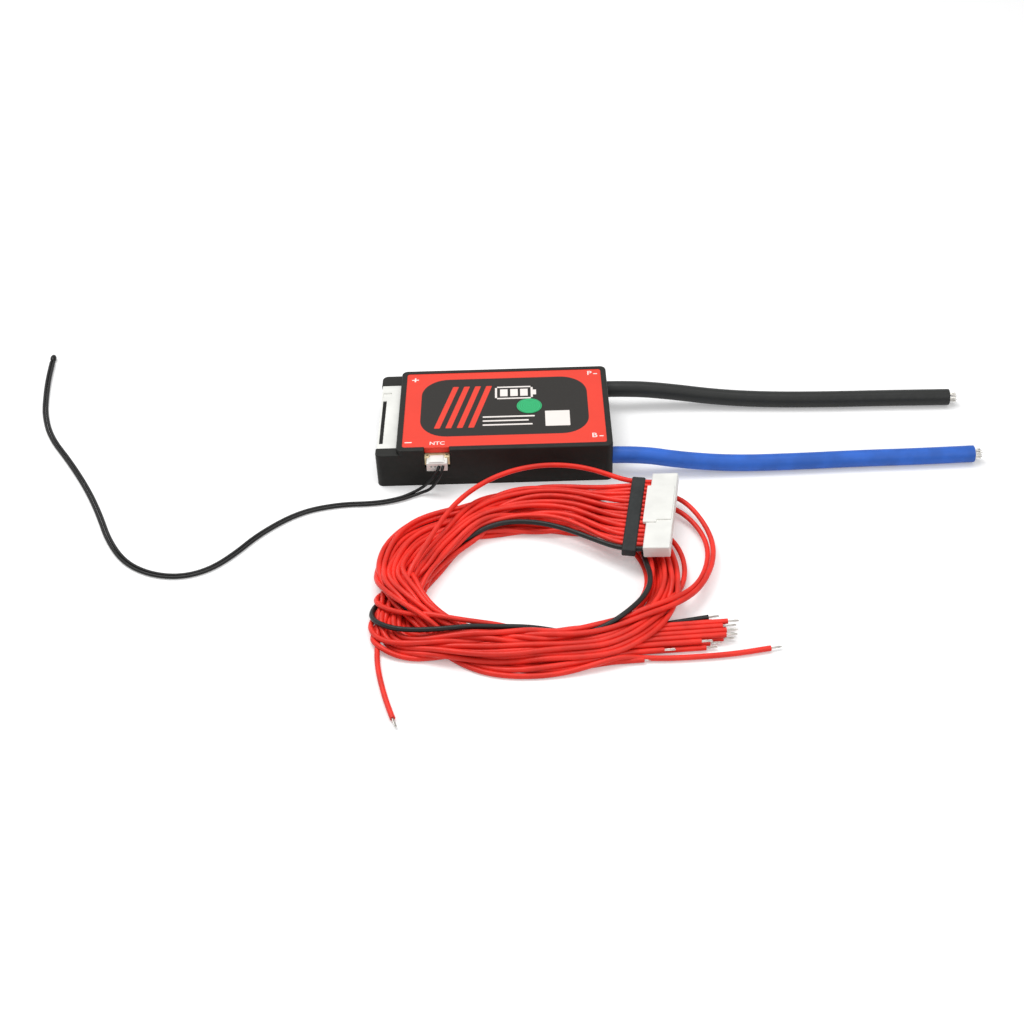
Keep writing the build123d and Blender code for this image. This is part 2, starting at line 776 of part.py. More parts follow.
# Two wires that spring out past the plug before they rejoin the coil
outer_loop = [(52.45, -41.1, 3.4), (58.8, -41.4, 3.8), (63.6, -47.6, 4.0), (65.4, -60.4, 4.0),
              (63.0, -73.6, 3.8), (56.6, -82.8, 3.4)]
inner_loop = [(57.1, -49.0, 1.2), (60.6, -52.0, 1.2), (62.4, -60.0, 1.2), (61.9, -69.0, 1.2),
              (58.3, -76.0, 1.2)]

# How far each free end reaches along X, and its height; front rows last
free_ends = [(60.5, 1.0), (61.4, 2.7), (66.2, 1.0), (63.4, 2.7), (65.1, 1.0), (64.0, 2.7),
             (65.3, 1.0), (62.2, 2.7), (64.5, 1.0), (60.6, 2.7), (61.8, 1.0), (58.4, 2.7),
             (57.5, 1.0), (55.5, 2.7), (54.4, 2.7)]
end_row = -87.6
end_step = 1.95
end_spread = 0.2
long_route = [(58.0, -104.4, 1.0), (67.5, -104.0, 1.0), (77.3, -102.4, 1.0)]
lone_end = [(-33.5, -91.6, 1.0), (-33.4, -103.0, 1.0), (-30.3, -116.0, 1.0), (-27.6, -124.0, 1.0)]


def free_points(index):
    """Route of a wire's free end from the coil."""
    if index == ways - 1:
        return lone_end
    row = index // 2
    y = end_row - end_step * row
    if index == ways - 2:
        y -= fit
        start = [(exit_x, y, 1.0), (exit_x + 4.0, y, 1.0)]
        return start + long_route
    tip_x, z = free_ends[index]
    return [(exit_x, y, z), (exit_x + 2.8, y, z), (exit_x + 5.0, y - 0.2 - 0.05 * row, z),
            (tip_x, y - 1.0 - end_spread * row, z)]


def sense_lead(index):
    """One wire of the harness: its fan, its free end and any loose loop."""
    solids = [stub(index), tube(f"wire {index + 1}, free end", free_points(index), wire_diameter)]
    if index == 3:
        solids.append(tube("wire 4, outer loop", outer_loop, wire_diameter))
    if index == 7:
        solids.append(tube("wire 8, inner loop", inner_loop, wire_diameter))
    return group(solids)


def tinned_ends():
    """Bare tinned end of each wire."""
    solids = []
    for index in range(ways):
        points = [Vector(*point) for point in free_points(index)]
        solids.append(thin_rod(tuple(points[-1]), tuple(points[-1] - points[-2]),
                               tinned_diameter, tinned_length))
    return group(solids)


front_lead = lead_points(-1, front_lead_route)
back_lead = lead_points(1, back_lead_route)

nodes = {
    "housing": housing(),
    "base_plate": base_plate(),
    "base_seal": base_seal(),
    "thermal_pad": thermal_pad(),
    "circuit_board": circuit_board(),
    "power_transistors": power_transistors(),
    "monitor_chips": monitor_chips(),
    "balance_resistors": balance_resistors(),
    "shunt_resistors": shunt_resistors(),
    "current_strips": current_strips(),
    "capacitors": capacitors(),
    "solder_joints": solder_joints(),
    "balance_header": balance_header(),
    "balance_pins": balance_pins(),
    "probe_header": probe_header(),
    "probe_pins": probe_pins(),
    "probe_plug": probe_plug(),
    "probe_terminals": probe_terminals(),
    "probe_lead": probe_lead(),
    "probe_bead": probe_bead(),
    "front_label": front_label(),
    "inspection_dot": inspection_dot(),
    "blue_lead": tube("blue lead", front_lead, lead_diameter),
    "blue_lead_strands": strands(front_lead),
    "black_lead": tube("black lead", back_lead, lead_diameter),
    "black_lead_strands": strands(back_lead),
    "harness_plug": harness_plug(),
    "harness_terminals": harness_terminals(),
    "harness_strap": harness_strap(),
    "harness_coil": harness_coil(),
    "tinned_ends": tinned_ends(),
}
for index in range(ways):
    nodes[f"sense_lead_{index + 1:02d}"] = sense_lead(index)

os.makedirs("parts", exist_ok=True)
for name, shape in nodes.items():
    export_step(shape, f"parts/{name}.step")
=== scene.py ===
"""Battery management board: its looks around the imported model.

A module in a black moulded housing with a printed label, its two power
leads, its temperature probe, and its unplugged sensing harness wound into a
loose coil. Lengths in the tables below are in millimetres."""
import math

import bmesh
import bpy
import numpy as np
from mathutils import Matrix, Vector, kdtree


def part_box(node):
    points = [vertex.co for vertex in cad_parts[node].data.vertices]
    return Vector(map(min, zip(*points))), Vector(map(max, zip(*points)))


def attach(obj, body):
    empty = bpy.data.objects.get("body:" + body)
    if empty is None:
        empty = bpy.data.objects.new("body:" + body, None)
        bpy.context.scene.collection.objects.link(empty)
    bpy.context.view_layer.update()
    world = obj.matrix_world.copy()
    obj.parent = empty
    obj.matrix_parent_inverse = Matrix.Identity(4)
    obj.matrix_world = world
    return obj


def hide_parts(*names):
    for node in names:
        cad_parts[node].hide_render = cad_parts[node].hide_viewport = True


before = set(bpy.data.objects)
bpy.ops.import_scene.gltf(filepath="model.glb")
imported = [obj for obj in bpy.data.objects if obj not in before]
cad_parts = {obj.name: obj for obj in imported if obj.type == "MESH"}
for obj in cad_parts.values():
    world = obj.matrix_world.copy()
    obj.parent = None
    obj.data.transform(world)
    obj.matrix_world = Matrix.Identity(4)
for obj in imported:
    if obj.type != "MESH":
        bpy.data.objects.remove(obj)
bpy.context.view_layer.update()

bl_info = {
    "name": "Battery management board",
    "version": (1, 0, 0),
    "blender": (4, 5, 0),
    "location": "3D View > Sidebar > Board",
    "description": "Makes the finished pieces of a battery management board",
    "category": "Object",
}

MM = 0.001

# Camera, from the housing's corners in the photograph
CAMERA_PLACE = (0.01086, -0.38757, 0.29133)
CAMERA_DOWN = math.radians(39.7535)
CAMERA_TURN = math.radians(-0.915)
CAMERA_ROLL = math.radians(-2.2196)
CAMERA_FOCAL = 1444.73
IMAGE_SIDE = 1024
SENSOR = 36.0

# Light: emission of the floor and strength of the world, and the lamps by
# name, place, size and power
FLOOR_GLOW = 0.25
WORLD_LIGHT = 0.30
LAMPS = (("key", (-0.35, 0.25, 0.85), 0.5, 4.6), ("fill", (0.45, -0.55, 0.60), 0.7, 2.4),
         ("top", (0.05, 0.10, 0.95), 0.6, 2.6))
AIM = (0, -0.03, 0)

# Reflection of dull plastic and ink
DULL = 0.2
# Turns that lay a cylinder along X and along Y
ALONG_X = (0, math.radians(90), 0)
ALONG_Y = (math.radians(90), 0, 0)

# Routes of the leads, as in the part's source
BLUE_ROUTE = [
    (36.0, -18.4, 7.0), (46.8, -18.4, 7.0), (60.0, -19.1, 4.6), (77.0, -19.5, 2.9),
    (97.0, -19.3, 2.8), (118.0, -18.6, 2.8), (139.0, -18.5, 2.8), (154.6, -17.9, 2.8),
]
BLACK_ROUTE = [
    (36.0, 18.4, 7.0), (46.8, 18.4, 7.0), (60.0, 17.9, 5.6), (76.0, 16.7, 3.5), (93.0, 15.4, 2.8),
    (113.0, 14.5, 2.8), (134.0, 14.3, 2.8), (154.2, 13.8, 2.8),
]
PROBE_ROUTE = [
    (-30.5, -30.4, 0.8), (-38.5, -32.0, 0.6), (-49.5, -31.9, 0.6), (-61.9, -35.1, 0.6),
    (-73.3, -45.0, 0.6), (-80.2, -54.9, 0.6), (-87.0, -61.6, 0.6), (-95.4, -64.4, 0.6),
    (-105.0, -62.6, 0.6), (-113.7, -56.7, 0.6), (-120.7, -46.1, 0.6), (-126.0, -33.7, 0.6),
    (-132.5, -20.8, 0.6), (-141.8, -5.5, 0.6), (-151.6, 8.6, 0.6), (-156.8, 21.9, 0.6),
    (-159.2, 34.1, 0.8), (-160.9, 45.5, 1.1), (-161.7, 54.5, 1.1),
]
PROBE_GAP = 0.53
LEAD_LENGTHS = (0.119, 0.1185)
PROBE_LENGTHS = (0.238, 0.242)
# Rings of strands in a frayed end: distance from the middle and count
RINGS = ((0, 1), (0.38, 6), (0.76, 12), (1.12, 17))
PROBE_STARTS = (
    [
        (-17.575, -25.4, 9.6), (-18.1, -27.0, 8.8), (-20.3, -27.5, 5.8), (-23.4, -27.2, 2.6),
        (-26.4, -27.6, 1.1),
    ],
    [
        (-16.325, -25.4, 9.6), (-16.5, -27.0, 9.0), (-18.7, -27.5, 4.8), (-20.8, -26.9, 1.6),
        (-24.6, -27.8, 0.8),
    ],
)

# Probe port: heights of the header and of its plug, how far the plug stands
# out, and its pitch
PORT_TOP = 11.25
PORT_BOTTOM = 8.15
PLUG_BOTTOM = 7.85
PLUG_STAND = 2.9
PROBE_PITCH = 1.25

# Label: its film, the rim round it and the ink on it
SHEET = 0.25
RIM = 1.9
INK = 0.03
# Plain fields of a layout of its own, by their corners
PANEL = ((-24, -15.2), (31, 16.8))
STRIPE = ((0, -10.8), (1.9, -10.8), (7.7, 12.4), (5.8, 12.4))
STRIPE_STARTS = (-19.4, -15.7, -12.0, -8.3)
SQUARE = ((16.8, -11.0), (24.8, -2.7))
RULES = ((17.0, -5.6), (15.0, -7.8), (16.2, -10.0))
CELL = (((0.4, 4.6), (13.0, 5.3)), ((0.4, 11.1), (13.0, 11.8)), ((0.4, 4.6), (1.1, 11.8)),
        ((12.3, 4.6), (13.0, 11.8)), ((13.0, 6.8), (14.1, 9.6)), ((2.1, 6.2), (4.6, 10.2)),
        ((5.5, 6.2), (8.0, 10.2)), ((8.8, 6.2), (11.3, 10.2)))
# Terminal marks: middle, width and height of the dashes, then the letters
DASHES = ((-26.5, 17.1, 2.3, 0.5), (-27.4, -17.9, 2.3, 0.5), (34.3, 17.9, 1.3, 0.45),
          (34.5, -17.2, 1.3, 0.45))
LETTERS = (("NTC", -18.1, -18.7, 2.4), ("P", 32.3, 18.3, 3.3), ("B", 32.3, -16.8, 3.3))

# Sensing harness: the plug's place and its rows
WAYS = 17
PITCH = 2.0
PLUG_PLACE = (50.9, -50.2)
PLUG_TURN = math.radians(-9.5)
PLUG_TILT = math.radians(7)
PLUG_LENGTH = 8.0
PLUG_WIDTH = 35.4
PLUG_Z = (5.6, 9.5)
PLUG_MIDDLE = 7.55
# Latch plate of the plug: its left, stepped and right edges, and its ends
LATCH_X = (-4.9, -0.9, 3.5)
LATCH_Y = (-6.1, -4.9, 11.4)
STRAP_MIDDLE = 7.25
STRAP_X = -8.3
STRAP_HALF = (2.1, 1.3)
STRAP_ENDS = (-18.2, 17.1)
WIRE_RADIUS = 0.8
COIL_MIDDLE = (11.0, -71.0)
# Winding: step between points, rounds of settling and how many of them are
# calm, distance in points over which a bend is read, length held at the plug
STEP = 1.25
ROUNDS = 360
CALM = 50
STRIDE = 3
HELD = 9.6
# Strength of smoothing, stiffness, pull and weight, first lively then calm
SMOOTHING = (0.2, 0.1)
STIFFNESS = (0.07, 0.03)
PULL = (1.0, 0.4)
WEIGHT = (0.03, 0.01)
PUSH = 0.25
# Pull of the lay on led and on loose wires, sideways and in height
LED_PULL = (0.12, 0.12, 0.05)
LOOSE_PULL = (0.045, 0.045, 0.012)
# Space between wires, reach of the search for touching points, height of a
# layer, angle between guide points and angle left free beside a led stretch
SPACE = 0.03
SEARCH = 1.2
LAYER = 1.45
TURN_STEP = 5.5
MARGIN = 9
# Room under the plug and strap: back, front and half its width
UNDER_PLUG = (-11.6, 4.6, 18.2)
# Every third point of a wound wire leads its spline
EVERY = 3
# Lay of the wires: angle round the coil, reach of the first and the last wire,
# height of the lowest wire and how many lie on each other
LAY = [
    (62, 23.5, 45.0, 5.2, 2), (78, 23.0, 44.0, 4.8, 2), (95, 23.4, 42.0, 4.0, 2),
    (115, 25.0, 38.0, 2.8, 3), (140, 26.2, 33.0, 1.4, 4), (168, 28.4, 33.0, 1.0, 4),
    (184, 32.0, 37.6, 0.9, 4), (194, 35.0, 43.0, 0.9, 3), (202, 37.5, 48.0, 0.9, 2),
    (210, 40.0, 49.8, 1.0, 2), (218, 38.0, 46.5, 1.6, 2), (228, 31.0, 40.2, 3.6, 2),
    (240, 26.5, 38.0, 4.2, 2), (256, 23.6, 35.0, 4.2, 2), (275, 23.2, 33.5, 4.0, 2),
    (290, 23.4, 35.0, 3.6, 2), (305, 27.0, 39.5, 3.0, 2), (320, 29.5, 41.5, 3.0, 2),
    (335, 32.0, 43.5, 2.6, 2), (348, 34.0, 42.6, 2.0, 3), (362, 34.6, 42.8, 1.2, 3),
    (376, 34.0, 43.6, 1.0, 3), (392, 32.5, 43.6, 1.0, 3), (405, 28.0, 43.0, 1.0, 2),
    (420, 24.0, 42.0, 0.9, 2), (450, 21.8, 41.0, 0.9, 1), (470, 23.0, 40.5, 0.9, 2),
    (486, 26.0, 42.0, 1.0, 2), (500, 31.5, 45.8, 1.0, 2), (512, 35.0, 47.9, 1.0, 2),
    (525, 36.0, 46.8, 1.8, 2), (536, 37.0, 46.4, 3.0, 2), (546, 35.5, 45.0, 4.8, 2),
    (556, 33.0, 42.0, 6.6, 2), (566, 34.0, 39.0, 6.6, 2), (576, 32.0, 36.5, 4.8, 3),
    (590, 26.5, 38.0, 1.2, 2), (606, 24.0, 40.3, 0.9, 2), (625, 23.5, 39.8, 0.9, 2),
    (650, 26.0, 39.2, 0.9, 2), (664, 31.0, 41.0, 0.9, 2),
]
# Where the order across the coil changes
SHUFFLES = (160, 205, 300, 450, 560, 650)
# Stretches that leave the lay: loops at the left, loops past the plug, and
# the whole first turn of the black and of the raised wire
STRETCHES = {
    0: [
        (31.7, -59.5, 6.6), (25.9, -55.6, 6.2), (20.2, -51.6, 6.0), (13.1, -48.9, 5.8),
        (7.1, -47.9, 5.6), (1.1, -48.1, 5.4), (-4.2, -49.6, 4.6), (-8.0, -52.0, 3.0),
        (-17.5, -60.5, 1.6), (-27.5, -72.0, 1.2), (-34.6, -78.5, 1.2), (-36.2, -82.1, 1.6),
        (-36.2, -85.8, 2.2), (-33.4, -90.4, 3.6), (-28.6, -93.8, 5.4), (-24.4, -95.4, 6.8),
        (-15.6, -96.3, 7.4), (-5.5, -96.3, 7.4), (4.6, -95.5, 6.8), (14.5, -94.8, 5.6),
        (22.5, -96.4, 4.4), (28.5, -97.6, 5.2), (33.2, -95.4, 7.2), (37.1, -92.6, 7.8),
        (41.2, -87.8, 7.6), (44.4, -82.4, 7.0), (45.8, -76.6, 6.0), (46.0, -70.6, 4.8),
        (44.0, -60.0, 3.4),
    ],
    1: [
        (-33.7, -73.9, 1.4), (-36.2, -78.5, 2.0), (-32.4, -84.2, 3.6), (-26.1, -87.8, 5.8),
        (-20.7, -90.4, 7.6), (-14.5, -92.6, 8.6), (-7.9, -94.0, 8.4), (-0.4, -94.0, 6.6),
        (6.0, -93.8, 5.2),
    ],
    5: [
        (-33.8, -80.0, 1.0), (-36.1, -86.5, 1.0), (-36.2, -90.5, 1.0), (-34.4, -94.9, 1.6),
        (-27.2, -98.8, 3.4), (-16.4, -99.6, 4.8), (-0.2, -98.1, 5.0),
    ],
    9: [
        (-33.0, -84.0, 1.0), (-35.4, -92.8, 1.0), (-33.3, -98.5, 1.2), (-27.2, -101.1, 1.6),
        (-16.4, -101.9, 3.2), (-0.2, -100.3, 4.8), (16.0, -96.8, 5.4),
    ],
    3: [
        (15.0, -100.0, 5.4), (29.6, -98.2, 6.6), (42.0, -92.8, 6.8), (49.8, -88.9, 6.6),
        (57.6, -82.6, 5.2), (61.0, -77.1, 4.6), (64.6, -69.0, 4.0), (66.1, -60.6, 4.0),
        (65.0, -51.8, 4.0), (61.8, -43.6, 4.2), (57.8, -36.6, 4.4), (51.0, -33.4, 4.0),
    ],
    7: [
        (14.0, -98.2, 5.4), (28.0, -96.4, 6.6), (43.0, -90.2, 6.8), (52.8, -84.5, 6.2),
        (57.5, -80.0, 4.9), (60.0, -75.4, 3.8), (63.0, -68.3, 2.8), (64.6, -60.5, 2.6),
        (63.6, -53.0, 2.6), (60.5, -46.6, 3.0), (56.8, -41.2, 3.4), (49.5, -37.4, 3.2),
    ],
    11: [
        (42.0, -92.4, 5.0), (50.0, -83.6, 4.2), (53.4, -80.0, 3.2), (55.6, -75.0, 2.6),
        (56.8, -66.9, 2.4), (56.2, -60.5, 2.4), (54.0, -55.4, 2.6), (49.5, -47.0, 2.4),
    ],
    16: [
        (33.5, -28.4, 9.0), (27.2, -26.7, 9.6), (20.8, -26.0, 10.1), (13.7, -26.3, 10.3),
        (5.0, -28.7, 10.3), (-2.0, -32.8, 10.1), (-7.6, -37.9, 9.9), (-11.9, -43.1, 9.6),
        (-15.2, -48.9, 9.4), (-17.9, -55.0, 8.9), (-20.4, -61.0, 8.4), (-23.2, -67.4, 7.6),
        (-26.0, -74.0, 5.6),
    ],
}
# Tips of the free ends, first wire first
TIPS = [
    (61.2, -88.8, 1.4), (66.3, -91.9, 2.7), (65.7, -91.9, 1.0), (64.6, -93.7, 2.7),
    (65.1, -93.6, 1.0), (65.5, -95.5, 2.7), (65.0, -95.3, 1.0), (65.2, -97.3, 2.7),
    (64.5, -97.1, 1.0), (62.0, -90.3, 1.0), (60.6, -98.8, 1.0), (59.3, -100.5, 1.0),
    (58.0, -99.6, 2.6), (47.4, -101.9, 1.9), (41.6, -104.6, 1.0),
]
END_REACH = 26.0
SHORT_REACH = 10.0
SHORT_BEFORE = 57
END_SLOPE = 0.06
BLACK_START = (40.0, -92.2, 1.0)
LONG_END = [
    (40.0, -103.6, 1.0), (46.0, -104.4, 1.0), (58.0, -104.0, 1.0), (67.5, -103.2, 1.0),
    (77.3, -101.4, 1.0),
]
LONE_END = [
    (-33.5, -91.6, 1.0), (-33.4, -103.0, 1.0), (-30.3, -116.0, 1.0), (-27.6, -124.0, 1.0),
]
LONE_TURN = 548


# Materials
def linear(colour):
    """Colour in the shader's scale from one as the eye reads it."""
    return tuple(c / 12.92 if c <= 0.04045 else ((c + 0.055) / 1.055) ** 2.4 for c in colour)


def fill(node, inputs):
    """Sets inputs of a shader node by their names."""
    for name, value in inputs.items():
        node.inputs[name.replace("_", " ")].default_value = value
    return node


class Finish:
    """Node builder for one material."""

    def __init__(self, name):
        self.material = bpy.data.materials.new(name)
        self.material.use_nodes = True
        self.nodes = self.material.node_tree.nodes
        self.links = self.material.node_tree.links
        self.shader = self.nodes["Principled BSDF"]
        self.place = self.nodes.new("ShaderNodeTexCoord").outputs["Object"]
        self.height = None

    def set(self, **inputs):
        fill(self.shader, inputs)

    def link(self, source, target):
        self.links.new(source, target)

    def add(self, kind, source=None, entry="Vector", **inputs):
        """New node with its inputs set and a source linked to it."""
        node = fill(self.nodes.new("ShaderNode" + kind), inputs)
        if source is not None:
            self.link(source, node.inputs[entry])
        return node

    def stretch(self, scale):
        return self.add("Mapping", self.place, Scale=scale).outputs["Vector"]

    def noise(self, scale, detail=2.0, vector=None):
        return self.add("TexNoise", vector or self.place, Scale=scale, Detail=detail).outputs["Fac"]

    def colours(self, source, low, high, spread=(0.35, 0.65)):
        node = self.add("ValToRGB", source, "Fac")
        for element, place, colour in zip(node.color_ramp.elements, spread, (low, high)):
            element.position = place
            element.color = (*linear(colour), 1.0)
        self.link(node.outputs["Color"], self.shader.inputs["Base Color"])

    def rough(self, source, low, high):
        node = self.add("MapRange", source, "Value", From_Min=0.3, From_Max=0.7, To_Min=low,
                        To_Max=high)
        self.link(node.outputs["Result"], self.shader.inputs["Roughness"])

    def bump(self, source, strength, distance):
        node = self.add("Bump", source, "Height", Strength=strength, Distance=distance)
        if self.height is not None:
            self.link(self.height, node.inputs["Normal"])
        self.height = node.outputs["Normal"]
        self.link(self.height, self.shader.inputs["Normal"])


def shade(colour, factor):
    """The same colour, lighter or darker."""
    return tuple(min(1.0, c * factor) for c in colour)


def moulded(name, colour, grain=5200, depth=0.00004, rough=(0.42, 0.58), spread=0.08):
    """Injection-moulded plastic with a fine spark grain."""
    f = Finish(name)
    f.colours(f.noise(160, 4), shade(colour, 1 - spread), shade(colour, 1 + spread))
    f.rough(f.noise(900, 3), *rough)
    f.bump(f.noise(grain, 2), 0.35, depth)
    f.bump(f.noise(45, 1), 0.12, 0.0004)
    f.set(Specular_IOR_Level=DULL)
    return f.material


def jacket(name, colour, rough=(0.38, 0.52), sheen=0.05):
    """Soft extruded insulation."""
    f = Finish(name)
    f.colours(f.noise(120, 3), shade(colour, 0.93), shade(colour, 1.05))
    f.rough(f.noise(700, 3), *rough)
    f.bump(f.noise(1500, 2), 0.15, 0.00005)
    f.set(Sheen_Weight=sheen, Sheen_Roughness=0.5, Specular_IOR_Level=0.3)
    return f.material


def metal(name, colour, rough=(0.22, 0.4), scale=1800, stretch=(1, 1, 1)):
    """Bare or plated metal."""
    f = Finish(name)
    grain = f.stretch(stretch)
    f.colours(f.noise(400, 4, grain), shade(colour, 0.86), shade(colour, 1.08))
    f.rough(f.noise(scale, 3, grain), *rough)
    f.bump(f.noise(scale, 3, grain), 0.3, 0.00003)
    f.set(Metallic=1.0)
    return f.material


def nylon(name, colour, spread=0.02):
    """Smooth plastic of a connector."""
    return moulded(name, colour, 3000, 0.00002, (0.35, 0.5), spread)


def printed(name, colour, rough=0.42):
    """Ink or film on the label."""
    f = Finish(name)
    f.colours(f.noise(60, 2), shade(colour, 0.99), shade(colour, 1.01))
    f.rough(f.noise(1200, 2), rough - 0.05, rough + 0.06)
    f.bump(f.noise(3800, 2), 0.12, 0.00002)
    f.set(Specular_IOR_Level=DULL)
    return f.material


def sticker(name, colour):
    """Round foil sticker with soft rings of painted sheen in its colour."""
    f = Finish(name)
    centred = f.add("Mapping", f.place, Location=(-11.7 * MM, -0.3 * MM, 0))
    # Painted sheen: rings of lighter and darker green round the sticker's middle stand for the
    # foil's reflection
    rings = f.add("TexWave", centred.outputs["Vector"], Scale=420, Distortion=1.5)
    rings.wave_type = "RINGS"
    rings.rings_direction = "Z"
    f.colours(rings.outputs["Fac"], shade(colour, 0.82), shade(colour, 1.12), (0.1, 0.9))
    f.rough(f.noise(2500, 2), 0.25, 0.4)
    f.set(Metallic=0.25)
    return f.material


def laminate(name, colour):
    """Circuit board with its solder mask and faint tracks."""
    f = Finish(name)
    tracks = f.add("TexVoronoi", f.stretch((1, 3, 1)), Scale=260)
    f.colours(tracks.outputs["Distance"], shade(colour, 0.7), shade(colour, 1.2), (0.1, 0.6))
    f.rough(f.noise(900), 0.3, 0.45)
    f.bump(f.noise(1400), 0.2, 0.00004)
    return f.material


# Helpers
def metres(point):
    """Point in metres from one in millimetres."""
    return [v * MM for v in point]


def row(index):
    """Offset of a way from the middle of its row."""
    return (index - (WAYS - 1) / 2) * PITCH


def clear():
    """Leaves edit mode and deselects everything."""
    if bpy.context.object and bpy.context.object.mode != "OBJECT":
        bpy.ops.object.mode_set(mode="OBJECT")
    bpy.ops.object.select_all(action="DESELECT")


def only(*pieces):
    """Selects these pieces, the first of them active."""
    clear()
    for piece in pieces:
        piece.select_set(True)
    bpy.context.view_layer.objects.active = pieces[0]
    return pieces[0]


def made(name):
    """The piece that the last operator made, with its name."""
    bpy.context.object.name = name
    return bpy.context.object


def edit_all(piece):
    """Enters edit mode with everything selected."""
    only(piece)
    bpy.ops.object.mode_set(mode="EDIT")
    bpy.ops.mesh.select_all(action="SELECT")


def settle(piece):
    """Puts the place, turn and size of a piece into its mesh."""
    only(piece)
    bpy.ops.object.transform_apply(location=True, rotation=True, scale=True)
    return piece


def block(name, low, high):
    """Box between two corners, in millimetres, as a start."""
    clear()
    middle = [(a + b) / 2 * MM for a, b in zip(low, high)]
    bpy.ops.mesh.primitive_cube_add(size=1, location=middle,
                                    scale=[(b - a) * MM for a, b in zip(low, high)])
    return settle(made(name))


def bar(name, place, radius, length, sides=16, turn=(0, 0, 0)):
    """Cylinder about a middle point, in millimetres, as a start."""
    clear()
    bpy.ops.mesh.primitive_cylinder_add(vertices=sides, radius=radius * MM, depth=length * MM,
                                        location=metres(place), rotation=turn)
    return settle(made(name))


def finish_with(piece, kind, **values):
    """Adds a modifier and applies it."""
    only(piece)
    modifier = piece.modifiers.new(kind.title(), kind)
    for name, value in values.items():
        setattr(modifier, name, value)
    bpy.ops.object.modifier_apply(modifier=modifier.name)
    return piece


def soften(piece, width, segments=2, angle=40):
    """Rounds the sharp edges of a piece."""
    return finish_with(piece, "BEVEL", width=width * MM, segments=segments, limit_method="ANGLE",
                       angle_limit=math.radians(angle), harden_normals=False)


def plate(name, corners, z, thickness, rounding):
    """Flat field with rounded corners, in millimetres."""
    clear()
    bpy.ops.mesh.primitive_circle_add(vertices=len(corners), radius=MM, fill_type="NGON")
    piece = made(name)
    for vertex, corner in zip(piece.data.vertices, corners):
        vertex.co = metres((*corner, z))
    edit_all(piece)
    bpy.ops.mesh.normals_make_consistent(inside=False)
    bpy.ops.mesh.bevel(offset=rounding * MM, segments=10, affect="VERTICES")
    bpy.ops.mesh.select_all(action="SELECT")
    bpy.ops.mesh.extrude_region_move(TRANSFORM_OT_translate={"value": (0, 0, thickness * MM)})
    bpy.ops.mesh.select_all(action="SELECT")
    bpy.ops.mesh.normals_make_consistent(inside=False)
    bpy.ops.object.mode_set(mode="OBJECT")
    return piece


def field(name, low, high, z, thickness=INK, rounding=0.2):
    """Plate between two corners."""
    corners = [low, (high[0], low[1]), high, (low[0], high[1])]
    return plate(name, corners, z, thickness, rounding)


def cut(piece, cutter):
    """Cuts one piece out of another."""
    finish_with(piece, "BOOLEAN", object=cutter, operation="DIFFERENCE", solver="EXACT")
    bpy.data.objects.remove(cutter)
    return piece


def joined(name, pieces):
    """One piece from several."""
    only(*pieces)
    bpy.ops.object.join()
    return made(name)


def smooth(piece, angle=35):
    """Smooth shading up to an edge angle."""
    only(piece)
    bpy.ops.object.shade_smooth_by_angle(angle=math.radians(angle))
    return piece


def dress(piece, material, slot, *nodes):
    """Finish, place on the body and the CAD nodes a piece stands for."""
    piece.data.materials.clear()
    piece.data.materials.append(material)
    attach(piece, "root")
    if nodes:
        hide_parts(*nodes)
    return piece


def plug_world(point):
    """Point of the harness plug's frame in the part's frame."""
    x, y, z = point
    c, s = math.cos(PLUG_TURN), math.sin(PLUG_TURN)
    return (PLUG_PLACE[0] + c * x - s * y, PLUG_PLACE[1] + s * x + c * y, z)


def to_plug_place(piece, tilt=0.0):
    """Turns a piece made at the origin to the harness plug's place."""
    entry = Matrix.Translation((-PLUG_LENGTH / 2 * MM, 0, PLUG_MIDDLE * MM))
    piece.data.transform(Matrix.Translation((PLUG_PLACE[0] * MM, PLUG_PLACE[1] * MM, 0))
                         @ Matrix.Rotation(PLUG_TURN, 4, "Z")
                         @ entry @ Matrix.Rotation(-tilt, 4, "Y") @ entry.inverted())
    return piece


def thread(name, points, diameter, sides=2, steps=4):
    """Round cord on a smooth spline that millimetre points lead."""
    data = bpy.data.curves.new(name, "CURVE")
    data.dimensions = "3D"
    spline = data.splines.new("NURBS")
    spline.points.add(len(points) - 1)
    for target, point in zip(spline.points, points):
        target.co = (*metres(point), 1.0)
    spline.order_u = 3
    spline.use_endpoint_u = True
    spline.resolution_u = steps
    data.resolution_u = steps
    data.bevel_depth = diameter / 2 * MM
    data.bevel_resolution = sides
    data.use_fill_caps = True
    piece = bpy.data.objects.new(name, data)
    bpy.context.scene.collection.objects.link(piece)
    return piece


def end_place(line, before=2):
    """Place and turn at the end of a line, with X along it."""
    way = Vector(line[-1]) - Vector(line[-before])
    turn = way.to_track_quat("X", "Z").to_matrix().to_4x4()
    return Matrix.Translation(metres(line[-1])) @ turn


def run_length(points):
    """Length of a line of points, in metres."""
    steps = np.diff(np.array(points, float), axis=0)
    return float(np.linalg.norm(steps, axis=1).sum()) * MM


# Winding the coil
def coil_point(angle, reach, z):
    """Point at an angle and a distance from the coil's middle."""
    turn = math.radians(angle)
    return (COIL_MIDDLE[0] + reach * math.cos(turn), COIL_MIDDLE[1] + reach * math.sin(turn), z)


def coil_angles(points):
    """Angle of each point round the coil, counted on over the full turn."""
    angles = []
    for x, y, _ in points:
        angle = math.degrees(math.atan2(y - COIL_MIDDLE[1], x - COIL_MIDDLE[0])) % 360
        while angles and angle < angles[-1] - 180:
            angle += 360
        angles.append(angle)
    return angles


